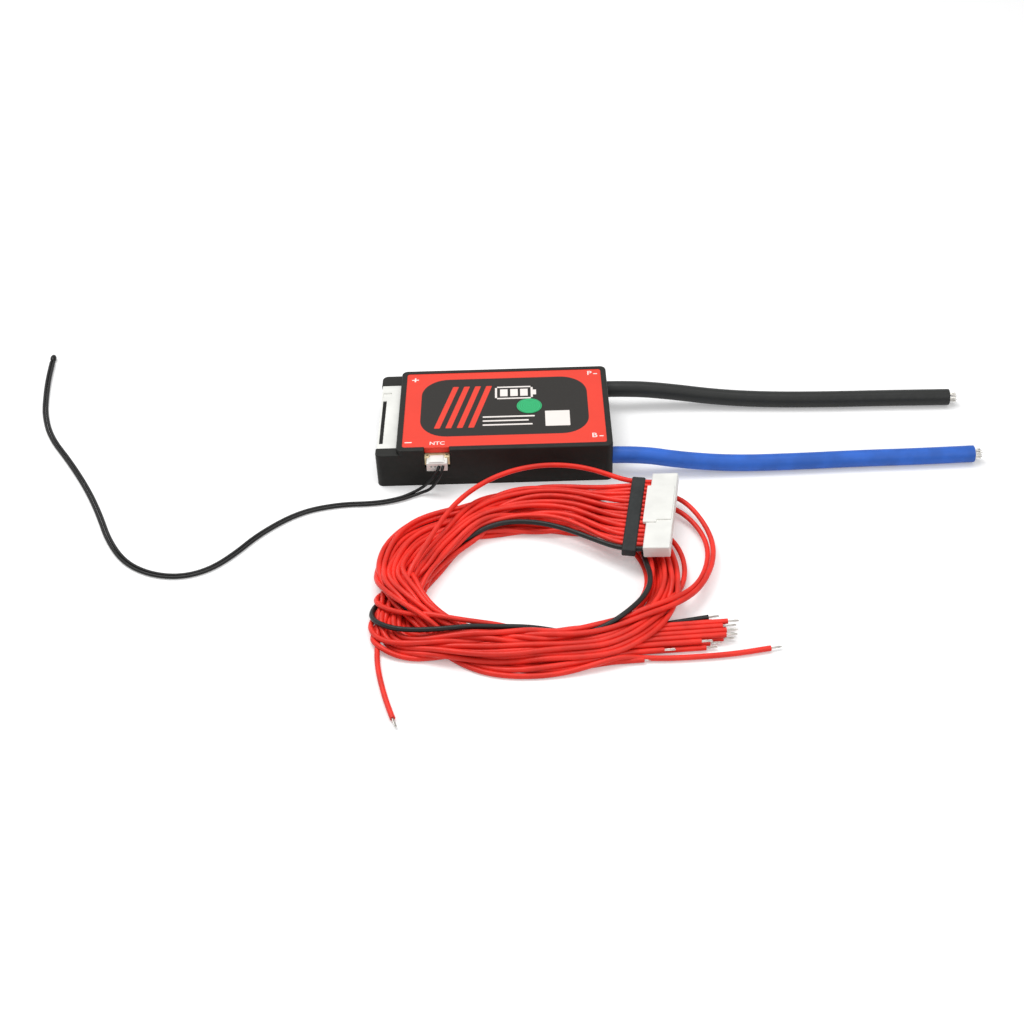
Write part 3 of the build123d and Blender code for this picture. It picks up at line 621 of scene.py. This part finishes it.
def wire_orders(random):
    """Places of the wires across the coil, changed a little at each shuffle."""
    start = np.arange(WAYS) / (WAYS - 1)
    orders = [start]
    for _ in SHUFFLES[:-1]:
        loose = orders[-1] + random.normal(0, 0.2, WAYS)
        orders.append(np.argsort(np.argsort(loose)) / (WAYS - 1))
    orders.append(start)
    return np.array(orders)


def wire_head(index):
    """Straight start of a wire: terminal, plug and strap."""
    places = ((-2.0, PLUG_MIDDLE), (-4.4, PLUG_MIDDLE), (-6.8, STRAP_MIDDLE + 0.1),
              (-9.2, STRAP_MIDDLE), (-11.6, STRAP_MIDDLE))
    return [plug_world((x, row(index), z)) for x, z in places]


def wire_tail(index):
    """Free end of a wire outside the coil."""
    if index == WAYS - 1:
        return LONE_END
    if index == WAYS - 2:
        return LONG_END
    tip = TIPS[index]
    reach = END_REACH if tip[0] > SHORT_BEFORE else SHORT_REACH
    start = (tip[0] - reach, tip[1] - END_SLOPE * reach, tip[2])
    if index == 0:
        start = BLACK_START
    return [start, tuple((a + b) / 2 for a, b in zip(start, tip)), tip]


def wire_guide(index, orders):
    """Points that a wire is led by between its head and its tail."""
    lay = np.array(LAY, float)
    marks = (lay[0][0], *SHUFFLES)
    last = LONE_TURN if index == WAYS - 1 else lay[-1][0]
    led = STRETCHES.get(index, [])
    angles = coil_angles(led)
    places = list(zip(angles, led))
    low_angle, high_angle = (angles[0] - MARGIN, angles[-1] + MARGIN) if led else (0, 0)
    for turn in np.arange(lay[0][0], last + 1, TURN_STEP):
        if low_angle <= turn <= high_angle:
            continue
        low, high, z, layers = (np.interp(turn, lay[:, 0], lay[:, column])
                                for column in (1, 2, 3, 4))
        share = np.interp(turn, marks, orders[:, index])
        level = z + LAYER * (index % 3 if layers > 2.5 else index % 2 if layers > 1.5 else 0)
        places.append((turn, coil_point(turn, low + (high - low) * share, level)))
    return [point for _, point in sorted(places)]


def resample(points, step):
    """Even steps along a smoothed line."""
    line = np.array(points, float)
    for _ in range(3):
        first, last = line[:1], line[-1:]
        line = np.concatenate([first, 0.75 * line[:-1] + 0.25 * line[1:],
                               0.25 * line[:-1] + 0.75 * line[1:], last])
        middle = line[1:-1].reshape(2, -1, 3).transpose(1, 0, 2).reshape(-1, 3)
        line = np.concatenate([first, middle, last])
    along = np.concatenate([[0], np.cumsum(np.linalg.norm(np.diff(line, axis=0), axis=1))])
    count = int(round(along[-1] / step)) + 1
    marks = np.linspace(0, along[-1], count)
    return np.stack([np.interp(marks, along, line[:, axis]) for axis in range(3)], axis=1)


def touching(places, owner, reach):
    """Pairs of points nearer than reach that aren't neighbours on one wire."""
    tree = kdtree.KDTree(len(places))
    for number, place in enumerate(places):
        tree.insert(place, number)
    tree.balance()
    pairs = []
    for number, place in enumerate(places):
        for _, other, _ in tree.find_range(place, reach):
            if other > number and (owner[other] != owner[number] or other - number > 6):
                pairs.append((number, other))
    return np.array(pairs, int)


def wound_wires():
    """Lays all the wires over each other and, for a fixed number of rounds, pushes apart those that
    lie in another.
    """
    orders = wire_orders(np.random.default_rng(17))
    lines, pins = [], []
    for index in range(WAYS):
        tail = wire_tail(index)
        line = resample(wire_head(index) + wire_guide(index, orders) + tail, STEP)
        along = np.arange(len(line)) * STEP
        pins.append((along <= HELD) | (along >= along[-1] - run_length(tail) / MM))
        lines.append(line)
    owner = np.concatenate([np.full(len(line), index) for index, line in enumerate(lines)])
    place = np.concatenate(lines)
    pinned = np.concatenate(pins)
    pull = np.where(np.isin(owner, list(STRETCHES))[:, None], LED_PULL, LOOSE_PULL)
    target = place.copy()
    held = place[pinned].copy()
    near_one = np.zeros(len(place), bool)
    near_one[1:-1] = (owner[1:-1] == owner[:-2]) & (owner[1:-1] == owner[2:])
    reach = 2 * STRIDE
    far_two = np.zeros(len(place), bool)
    far_two[reach:-reach] = owner[reach:-reach] == owner[:-2 * reach]
    far_two[reach:-reach] &= owner[reach:-reach] == owner[2 * reach:]
    numbers = np.flatnonzero(far_two)
    gap = 2 * WIRE_RADIUS + SPACE
    c, s = math.cos(PLUG_TURN), math.sin(PLUG_TURN)
    back, front, half = UNDER_PLUG
    for count in range(ROUNDS):
        phase = int(count > ROUNDS - CALM)
        if count % 10 == 0:
            pairs = touching(place, owner, gap + SEARCH)
        middle = np.zeros_like(place)
        middle[1:-1] = (place[:-2] + place[2:]) / 2
        place[near_one] += SMOOTHING[phase] * (middle[near_one] - place[near_one])
        bend = (6 * place[numbers] - 4 * (place[numbers - STRIDE] + place[numbers + STRIDE])
                + place[numbers - reach] + place[numbers + reach])
        place[numbers] -= STIFFNESS[phase] * bend
        place += pull * PULL[phase] * (target - place)
        place[:, 2] -= WEIGHT[phase]
        for _ in range(3):
            first, second = pairs[:, 0], pairs[:, 1]
            apart = place[first] - place[second]
            distance = np.linalg.norm(apart, axis=1)
            near = distance < gap
            first, second = first[near], second[near]
            apart, distance = apart[near], distance[near]
            push = PUSH * ((gap - distance) / np.maximum(distance, 0.05))[:, None] * apart
            for axis in range(3):
                place[:, axis] += np.bincount(first, push[:, axis], len(place))
                place[:, axis] -= np.bincount(second, push[:, axis], len(place))
        x, y = place[:, 0] - PLUG_PLACE[0], place[:, 1] - PLUG_PLACE[1]
        local_x, local_y = c * x + s * y, -s * x + c * y
        under = (local_x > back) & (local_x < front) & (np.abs(local_y) < half) & ~pinned
        place[under, 2] = np.minimum(place[under, 2], PLUG_Z[0] - WIRE_RADIUS - 0.05)
        place[:, 2] = np.maximum(place[:, 2], WIRE_RADIUS + 0.02)
        place[pinned] = held
    return [place[owner == index] for index in range(WAYS)]


# Values
def colour_value(name, text, default):
    return bpy.props.FloatVectorProperty(name=name, description=text, subtype="COLOR_GAMMA", size=3,
                                         min=0.0, max=1.0, default=default)


class BoardColours(bpy.types.PropertyGroup):
    """Colours of the finishes."""
    housing: colour_value("Housing", "Moulded cover", (0.125, 0.125, 0.115))
    label: colour_value("Label", "Printed label", (0.93, 0.28, 0.22))
    print_dark: colour_value("Dark print", "Dark fields on the label", (0.17, 0.16, 0.15))
    print_light: colour_value("Light print", "Marks on the label", (0.96, 0.93, 0.91))
    dot: colour_value("Sticker", "Round sticker", (0.16, 0.72, 0.45))
    wire: colour_value("Red wire", "Sensing wires", (0.93, 0.21, 0.16))
    wire_dark: colour_value("Black wire", "First sensing wire", (0.10, 0.11, 0.105))
    blue: colour_value("Blue lead", "Front power lead", (0.18, 0.40, 0.78))
    black: colour_value("Black lead", "Rear power lead", (0.115, 0.12, 0.115))
    nylon: colour_value("White plug", "Plug and header", (0.93, 0.93, 0.91))
    ivory: colour_value("Ivory header", "Probe header", (0.93, 0.87, 0.70))
    strap: colour_value("Strap", "Band round the wires", (0.17, 0.18, 0.18))


class BoardSizes(bpy.types.PropertyGroup):
    """Sizes of the finishing work."""
    lead: bpy.props.FloatProperty(name="Power lead", description="Diameter of a power lead",
                                  default=0.0055, unit="LENGTH", min=0.001)
    probe: bpy.props.FloatProperty(name="Probe wire", description="Diameter of a probe wire",
                                   default=0.0010, unit="LENGTH", min=0.0003)
    wire: bpy.props.FloatProperty(name="Sensing wire", description="Diameter of a sensing wire",
                                  default=0.0016, unit="LENGTH", min=0.0005)


def values():
    return bpy.context.scene.board_colours, bpy.context.scene.board_sizes


def seen_rays(nodes, links):
    """One for the rays that see the floor, straight or in a reflection."""
    ray = nodes.new("ShaderNodeLightPath")
    total = ray.outputs["Is Camera Ray"]
    for kind in ("Is Glossy Ray", "Is Transmission Ray"):
        either = nodes.new("ShaderNodeMath")
        either.operation = "MAXIMUM"
        links.new(total, either.inputs[0])
        links.new(ray.outputs[kind], either.inputs[1])
        total = either.outputs["Value"]
    return total


def by_sight(nodes, links, unseen, seen, out):
    """One shader for the rays that see a surface and one for the rest."""
    pick = nodes.new("ShaderNodeMixShader")
    links.new(seen_rays(nodes, links), pick.inputs["Fac"])
    links.new(unseen, pick.inputs[1])
    links.new(seen, pick.inputs[2])
    links.new(pick.outputs["Shader"], out.inputs["Surface"])


# Operators
class BOARD_OT_stage(bpy.types.Operator):
    """Floor, lights and camera"""
    bl_idname = "board.stage"
    bl_label = "Stage"

    def execute(self, context):
        scene = context.scene
        scene.view_settings.view_transform = "Standard"
        clear()
        bpy.ops.mesh.primitive_plane_add(size=6.0, location=(0, 0, 0))
        floor = made("floor")
        f = Finish("studio_floor")
        f.set(Base_Color=(*linear((0.93, 0.93, 0.93)), 1), Roughness=0.9, Specular_IOR_Level=0.0)
        plain = f.shader.outputs["BSDF"]
        both = f.add("AddShader")
        f.link(plain, both.inputs[0])
        f.link(f.add("Emission", Strength=FLOOR_GLOW).outputs["Emission"], both.inputs[1])
        by_sight(f.nodes, f.links, plain, both.outputs["Shader"], f.nodes["Material Output"])
        floor.data.materials.append(f.material)
        world = bpy.data.worlds.new("studio")
        world.use_nodes = True
        scene.world = world
        nodes, links = world.node_tree.nodes, world.node_tree.links
        back = fill(nodes["Background"], {"Color": (1, 1, 1, 1), "Strength": WORLD_LIGHT})
        white = fill(nodes.new("ShaderNodeBackground"), {"Strength": 1.0})
        by_sight(nodes, links, back.outputs["Background"], white.outputs["Background"],
                 nodes["World Output"])
        for name, place, size, power in LAMPS:
            lamp = bpy.data.lights.new(name, "AREA")
            lamp.size = size
            lamp.energy = power
            holder = bpy.data.objects.new(name, lamp)
            scene.collection.objects.link(holder)
            holder.location = place
            way = Vector(AIM) - Vector(place)
            holder.rotation_euler = way.to_track_quat("-Z", "Y").to_euler()
        forward = Vector((math.sin(CAMERA_TURN) * math.cos(CAMERA_DOWN),
                          math.cos(CAMERA_TURN) * math.cos(CAMERA_DOWN), -math.sin(CAMERA_DOWN)))
        level = Vector((math.cos(CAMERA_TURN), -math.sin(CAMERA_TURN), 0))
        rise = level.cross(forward)
        c, s = math.cos(CAMERA_ROLL), math.sin(CAMERA_ROLL)
        across, up = c * level + s * rise, -s * level + c * rise
        camera = bpy.data.cameras.new("camera")
        camera.sensor_width = SENSOR
        camera.lens = CAMERA_FOCAL * SENSOR / IMAGE_SIDE
        camera.clip_start = 0.01
        holder = bpy.data.objects.new("camera", camera)
        scene.collection.objects.link(holder)
        turn = Matrix((across, up, -forward)).transposed().to_4x4()
        holder.matrix_world = Matrix.Translation(CAMERA_PLACE) @ turn
        scene.camera = holder
        return {"FINISHED"}


class BOARD_OT_power_leads(bpy.types.Operator):
    """Two silicone power leads with their frayed copper ends"""
    bl_idname = "board.power_leads"
    bl_label = "Power leads"

    def execute(self, context):
        colours, sizes = values()
        tinned = metal("tinned_copper", (0.80, 0.79, 0.77), (0.25, 0.42))
        for colour_name, route, length in zip(("blue", "black"), (BLUE_ROUTE, BLACK_ROUTE),
                                              LEAD_LENGTHS):
            name = colour_name + "_lead"
            piece = thread(name + "_jacket", route, sizes.lead / MM, sides=10, steps=10)
            silicone = jacket(name + "_silicone", getattr(colours, colour_name))
            dress(piece, silicone, "lead_" + colour_name, name)
            frayed = self.strands(name + "_strands", route)
            dress(frayed, tinned, "tinned", name + "_strands")
        return {"FINISHED"}

    def strands(self, name, route):
        """Core inside the housing and the frayed outer end."""
        random = np.random.default_rng(5)
        core = bar(name + "_core", (-4.0, 0, 0), 1.4, 8.0, 24, ALONG_X)
        pieces = [core]
        core.data.transform(Matrix.Translation(metres(route[0])))
        turn = end_place(route)
        for reach, count in RINGS:
            for number in range(count):
                angle = 2 * math.pi * number / count + random.uniform(-0.1, 0.1)
                length = 3.0 + random.uniform(-0.5, 0.15)
                strand = bar("strand", (length / 2 - 0.5, 0, 0), 0.19, length, 6, ALONG_X)
                lean = Matrix.Rotation(random.uniform(0.02, 0.2) * reach, 4, "Z")
                spin = Matrix.Rotation(angle, 4, "X")
                strand.data.transform(turn @ spin @ Matrix.Translation((0, reach * MM, 0)) @ lean)
                pieces.append(strand)
        return smooth(joined(name + "_bundle", pieces), 50)


class BOARD_OT_probe_lead(bpy.types.Operator):
    """Temperature probe lead: two thin wires and a resin drop"""
    bl_idname = "board.probe_lead"
    bl_label = "Probe lead"

    def execute(self, context):
        _, sizes = values()
        skin = jacket("probe_insulation", (0.055, 0.055, 0.055), (0.35, 0.5), 0.0)
        bead = self.bead()
        for number, side, start, length in zip((1, 2), (-1, 1), PROBE_STARTS, PROBE_LENGTHS):
            points = start + beside(PROBE_ROUTE, side * PROBE_GAP)
            piece = thread(f"probe_wire_{number}", points, sizes.probe / MM, sides=3, steps=6)
            dress(piece, skin, "probe_black", "probe_lead")
        return {"FINISHED"}

    def bead(self):
        """Smooth resin drop at the end of the wires."""
        clear()
        bpy.ops.mesh.primitive_uv_sphere_add(segments=20, ring_count=14, radius=1.1 * MM)
        drop = made("probe_drop")
        drop.scale = (1.9, 1.0, 1.0)
        settle(drop)
        drop.data.transform(end_place(PROBE_ROUTE) @ Matrix.Translation((2.1 * MM, 0, 0)))
        resin = moulded("resin_drop", (0.07, 0.07, 0.07), 2500, 0.00006, (0.2, 0.35))
        return dress(smooth(drop, 80), resin, "bead_resin", "probe_bead")


def beside(route, offset):
    """Points beside a route, square to it in plan."""
    moved = []
    for index, (x, y, z) in enumerate(route):
        before = route[max(index - 1, 0)]
        after = route[min(index + 1, len(route) - 1)]
        way = Vector((after[0] - before[0], after[1] - before[1])).normalized()
        moved.append((x - way.y * offset, y + way.x * offset, z))
    return moved


class BOARD_OT_sensing_wires(bpy.types.Operator):
    """Seventeen sensing wires, wound together into a loose coil"""
    bl_idname = "board.sensing_wires"
    bl_label = "Sensing wires"

    def execute(self, context):
        colours, sizes = values()
        red = jacket("red_insulation", colours.wire, (0.34, 0.48), 0.0)
        dark = jacket("black_insulation", colours.wire_dark, (0.34, 0.48), 0.0)
        tinned = metal("tinned_strands", (0.78, 0.77, 0.75), (0.28, 0.45))
        bundle = self.tip()
        for index, line in enumerate(wound_wires()):
            points = [tuple(point) for point in line[::EVERY]]
            if len(line) % EVERY != 1:
                points.append(tuple(line[-1]))
            name = f"sense_lead_{index + 1:02d}"
            piece = thread(name + "_wire", points, sizes.wire / MM, sides=2, steps=3)
            first = index == 0
            dress(piece, dark if first else red, "wire_black" if first else "wire_red", name,
                  "harness_coil")
            tip = bundle.copy()
            tip.data = bundle.data.copy()
            tip.name = f"tinned_end_{index + 1:02d}"
            context.scene.collection.objects.link(tip)
            tip.data.transform(end_place(line, 4))
            dress(tip, tinned, "tinned", "tinned_ends")
        bpy.data.objects.remove(bundle)
        return {"FINISHED"}

    def tip(self):
        """Seven tinned strands, twisted together along X."""
        pieces = []
        for number in range(7):
            reach = 0.0 if number == 0 else 0.225
            angle = math.pi / 3 * number
            strand = bar("strand", (1.35, reach * math.cos(angle), reach * math.sin(angle)), 0.125,
                         3.7 - 0.1 * number, 6, ALONG_X)
            edit_all(strand)
            bpy.ops.mesh.select_all(action="DESELECT")
            form = bmesh.from_edit_mesh(strand.data)
            for edge in form.edges:
                ends = edge.verts[0].co - edge.verts[1].co
                edge.select_set(abs(ends.x) > MM)
            bmesh.update_edit_mesh(strand.data)
            bpy.ops.mesh.subdivide(number_cuts=6)
            bpy.ops.object.mode_set(mode="OBJECT")
            pieces.append(strand)
        tip = joined("tip", pieces)
        finish_with(tip, "SIMPLE_DEFORM", deform_method="TWIST", deform_axis="X",
                    angle=math.radians(170))
        return smooth(tip, 60)


class BOARD_OT_harness_plug(bpy.types.Operator):
    """White seventeen-way plug with its latch plate"""
    bl_idname = "board.harness_plug"
    bl_label = "Harness plug"

    def execute(self, context):
        colours, _ = values()
        half_x, half_y = PLUG_LENGTH / 2, PLUG_WIDTH / 2
        body = block("plug_body", (-half_x, -half_y, PLUG_Z[0]), (half_x, half_y + 0.4, PLUG_Z[1]))
        soften(body, 0.4, 4)
        for index in range(WAYS):
            y = row(index)
            cut(body, bar("entry", (-half_x - 0.5, y, PLUG_MIDDLE), 0.86, 4.6, 14, ALONG_X))
            cut(body, block("slot", (half_x - 3.0, y - 0.4, PLUG_MIDDLE - 0.4),
                            (half_x + 1, y + 0.4, PLUG_MIDDLE + 0.4)))
        (back, step, front), (start, rise, end) = LATCH_X, LATCH_Y
        corners = ((back, start), (step, start), (step, rise), (front, rise), (front, end),
                   (back, end))
        latch = plate("latch", corners, PLUG_Z[1] - 0.5, 0.85, 0.25)
        plug = smooth(joined("harness_plug_body", [body, latch]), 30)
        to_plug_place(plug, PLUG_TILT)
        dress(plug, nylon("plug_nylon", colours.nylon), "connector_white", "harness_plug")
        return {"FINISHED"}


class BOARD_OT_strap(bpy.types.Operator):
    """Flat dark band round the wires behind the plug"""
    bl_idname = "board.strap"
    bl_label = "Strap"

    def execute(self, context):
        colours, _ = values()
        (start, end), (half_x, half_z) = STRAP_ENDS, STRAP_HALF
        low, high = STRAP_X - half_x, STRAP_X + half_x
        bottom, top = STRAP_MIDDLE - half_z, STRAP_MIDDLE + half_z
        band = block("strap", (low, start, bottom), (high, end, top))
        edit_all(band)
        bpy.ops.mesh.subdivide(number_cuts=1)
        bpy.ops.object.mode_set(mode="OBJECT")
        soften(band, 0.5, 4, 60)
        hole = block("hole", (low - 1, start + 0.45, bottom + 0.42),
                     (high + 1, end - 0.25, top - 0.42))
        soften(hole, 0.3, 3)
        cut(band, hole)
        smooth(band, 40)
        to_plug_place(band)
        rubber = moulded("strap_rubber", colours.strap, 2600, 0.00006, (0.5, 0.68), 0.1)
        dress(band, rubber, "strap_grey", "harness_strap")
        return {"FINISHED"}


class BOARD_OT_label(bpy.types.Operator):
    """Label with its tab, plain printed fields and terminal marks"""
    bl_idname = "board.label"
    bl_label = "Label"

    def execute(self, context):
        colours, _ = values()
        low, high = (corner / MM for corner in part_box("front_label"))
        port_low, port_high = (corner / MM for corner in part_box("probe_header"))
        top = high.z
        edge = port_low.y + RIM
        dark = printed("dark_ink", colours.print_dark)
        light = printed("light_ink", colours.print_light)
        red = printed("label_film", colours.label, 0.4)
        sheet = field("sheet", (low.x, edge), (high.x, high.y), top - SHEET, SHEET, 0.9)
        tab = block("tab", (port_low.x, edge - SHEET, PORT_TOP + 0.5),
                    (port_high.x, edge + 0.9, top - 0.02))
        soften(tab, 0.12, 3)
        label = smooth(joined("label_sheet", [sheet, tab]), 40)
        dress(label, red, "label_red", "front_label")
        panel = field("print_panel", *PANEL, top - 0.01, 0.025, 9)
        dress(panel, dark, "label_red")
        stripes = [plate("stripe", [(start + x, y) for x, y in STRIPE], top, INK, 0.3)
                   for start in STRIPE_STARTS]
        dress(joined("print_stripes", stripes), red, "label_red")
        fields = [field("square", *SQUARE, top)]
        fields += [field("rule", (-3.6, y), (width - 3.6, y + 0.75), top) for width, y in RULES]
        fields += [block("bar", (*start, top), (*end, top + INK)) for start, end in CELL]
        dress(joined("print_fields", fields), light, "label_red")
        marks = [self.words(*letter, top) for letter in LETTERS]
        for x, y, wide, tall in DASHES:
            marks.append(field("dash", (x - wide / 2, y - tall / 2), (x + wide / 2, y + tall / 2),
                               top - 0.01, INK, 0.1))
        marks.append(field("upright", (-26.75, 15.95), (-26.25, 18.25), top - 0.01, 0.034, 0.1))
        dress(joined("print_marks", marks), light, "label_red")
        return {"FINISHED"}

    def words(self, text, x, y, size, z):
        """Terminal mark as a flat mesh."""
        clear()
        bpy.ops.object.text_add(location=(x * MM, y * MM, z * MM))
        piece = bpy.context.object
        piece.data.body = text
        piece.data.size = size * MM
        piece.data.align_x = "CENTER"
        piece.data.align_y = "CENTER"
        piece.data.extrude = 0.02 * MM
        piece.data.offset = 0.03 * MM
        bpy.ops.object.convert(target="MESH")
        return settle(bpy.context.object)


class BOARD_OT_balance_header(bpy.types.Operator):
    """White header that the harness plug fits, with its latch slot"""
    bl_idname = "board.balance_header"
    bl_label = "Balance header"

    def execute(self, context):
        colours, _ = values()
        low, high = (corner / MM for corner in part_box("balance_header"))
        body = soften(block("header", low, high), 0.15, 2)
        cut(body, block("socket", (low.x - 1, low.y + 0.6, low.z + 0.45),
                        (high.x - 1.4, high.y - 0.6, high.z - 0.45)))
        for name, start, end, depth in (("recess", (-1, -15.9), (2.9, 12.9), 0.12),
                                        ("rest", (0.5, 10.2), (3.3, 12.7), 0.42),
                                        ("slot", (0.6, -15.6), (1.85, 8.3), 1)):
            cut(body, block(name, (low.x + start[0], start[1], high.z - depth),
                            (low.x + end[0], end[1], high.z + 1)))
        cut(body, block("window", (low.x - 1, -15.8, low.z - 1), (low.x + 3.2, 14.7, low.z + 1)))
        middle = (low + high) / 2
        for index in range(WAYS):
            y = middle.y + row(index)
            cut(body, block("pin_way", (high.x - 2, y - 0.25, middle.z - 0.25),
                            (high.x + 1, y + 0.25, middle.z + 0.25)))
        dress(smooth(body, 30), nylon("header_nylon", colours.nylon), "connector_white",
              "balance_header")
        return {"FINISHED"}


class BOARD_OT_probe_port(bpy.types.Operator):
    """Ivory probe header and the white plug seated in it"""
    bl_idname = "board.probe_port"
    bl_label = "Probe port"

    def execute(self, context):
        colours, _ = values()
        low, high = (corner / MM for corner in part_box("probe_header"))
        middle = (low.x + high.x) / 2
        shell = soften(block("shell", (low.x, low.y, PORT_BOTTOM), (high.x, high.y, PORT_TOP)),
                       0.12, 2)
        cut(shell, block("socket", (middle - 3.35, low.y - 1, PORT_BOTTOM - 1),
                         (middle + 3.35, high.y - 1.6, PORT_TOP - 0.32)))
        cut(shell, soften(block("notch", (middle - 2.65, low.y - 1, PORT_TOP - 1),
                                (middle + 2.45, low.y + 1.45, PORT_TOP + 1)), 0.5, 3))
        for side in (-1, 1):
            cut(shell, bar("hole", (middle + side * 3.2, low.y + 1.25, PORT_TOP), 0.5, 3.0, 20))
        dress(smooth(shell), nylon("ivory_nylon", colours.ivory, 0.03), "connector_ivory",
              "probe_header")
        rear = low.y - PLUG_STAND
        plug = soften(block("plug", (middle - 3.3, rear, PLUG_BOTTOM),
                            (middle + 3.3, low.y + 0.6, PORT_TOP - 0.36)), 0.18, 3)
        nose = block("nose", (middle - 2.55, low.y + 0.3, PLUG_BOTTOM + 0.2),
                     (middle + 2.55, high.y - 1.7, PORT_TOP - 0.4))
        for number in range(4):
            x = middle + (number - 1.5) * PROBE_PITCH
            cut(plug, bar("way", (x, rear, PROBE_STARTS[0][0][2]), 0.53 if number > 1 else 0.34,
                          3.0, 16, ALONG_Y))
        latch = soften(block("latch", (middle - 2.3, rear + 0.25, PORT_TOP - 0.6),
                             (middle + 2.1, low.y + 1.15, PORT_TOP + 0.1)), 0.3, 3)
        wing = soften(block("wing", (middle - 2.65, rear + 0.25, PORT_TOP - 0.6),
                            (middle + 2.45, rear + 1.6, PORT_TOP + 0.04)), 0.2, 3)
        plug = smooth(joined("probe_plug_body", [plug, nose, latch, wing]), 30)
        dress(plug, nylon("probe_nylon", colours.nylon), "connector_white", "probe_plug")
        return {"FINISHED"}


class BOARD_OT_finishes(bpy.types.Operator):
    """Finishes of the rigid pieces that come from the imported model"""
    bl_idname = "board.finishes"
    bl_label = "Finishes"

    def execute(self, context):
        colours, _ = values()
        pin = metal("pin_plating", (0.80, 0.79, 0.76))
        finishes = {
            "housing": moulded("housing_plastic", colours.housing),
            "base_plate": metal("brushed_aluminium", (0.80, 0.80, 0.81), (0.3, 0.45), 2200,
                                stretch=(1, 30, 1)),
            "base_seal": moulded("sealant", (0.10, 0.10, 0.11), 1500, 0.0001, (0.5, 0.7)),
            "thermal_pad": moulded("gap_pad", (0.55, 0.60, 0.66), 1800, 0.0001, (0.7, 0.85)),
            "circuit_board": laminate("solder_mask", (0.04, 0.10, 0.07)),
            "power_transistors": moulded("package_black", (0.11, 0.11, 0.12)),
            "monitor_chips": moulded("chip_black", (0.09, 0.09, 0.10)),
            "balance_resistors": moulded("resistor_black", (0.12, 0.12, 0.13)),
            "shunt_resistors": metal("shunt_alloy", (0.70, 0.68, 0.64)),
            "current_strips": metal("copper", (0.83, 0.48, 0.33), (0.25, 0.4)),
            "capacitors": metal("can_aluminium", (0.78, 0.79, 0.80), (0.2, 0.35)),
            "solder_joints": metal("solder", (0.74, 0.74, 0.74), (0.2, 0.45)),
            "balance_pins": pin,
            "probe_pins": pin,
            "probe_terminals": pin,
            "harness_terminals": pin,
            "inspection_dot": sticker("sticker_foil", colours.dot),
        }
        for name, material in finishes.items():
            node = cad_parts[name]
            node.data.materials.clear()
            node.data.materials.append(material)
        return {"FINISHED"}


class BOARD_PT_panel(bpy.types.Panel):
    """Lists the steps of the board"""
    bl_label = "Board"
    bl_idname = "BOARD_PT_panel"
    bl_space_type = "VIEW_3D"
    bl_region_type = "UI"
    bl_category = "Board"

    def draw(self, context):
        for group in (context.scene.board_sizes, context.scene.board_colours):
            for name in group.__annotations__:
                self.layout.prop(group, name)
        for step in STEPS:
            self.layout.operator(step.bl_idname)


STEPS = (BOARD_OT_stage, BOARD_OT_power_leads, BOARD_OT_probe_lead, BOARD_OT_sensing_wires,
         BOARD_OT_harness_plug, BOARD_OT_strap, BOARD_OT_balance_header, BOARD_OT_probe_port,
         BOARD_OT_label, BOARD_OT_finishes)
CLASSES = (BoardColours, BoardSizes, *STEPS, BOARD_PT_panel)


def register():
    for cls in CLASSES:
        bpy.utils.register_class(cls)
    bpy.types.Scene.board_colours = bpy.props.PointerProperty(type=BoardColours)
    bpy.types.Scene.board_sizes = bpy.props.PointerProperty(type=BoardSizes)


def unregister():
    del bpy.types.Scene.board_colours
    del bpy.types.Scene.board_sizes
    for cls in reversed(CLASSES):
        bpy.utils.unregister_class(cls)


def main():
    """Makes every piece in order."""
    register()
    for step in STEPS:
        getattr(bpy.ops.board, step.bl_idname.split(".")[1])()
    clear()


if __name__ == "__main__":
    main()
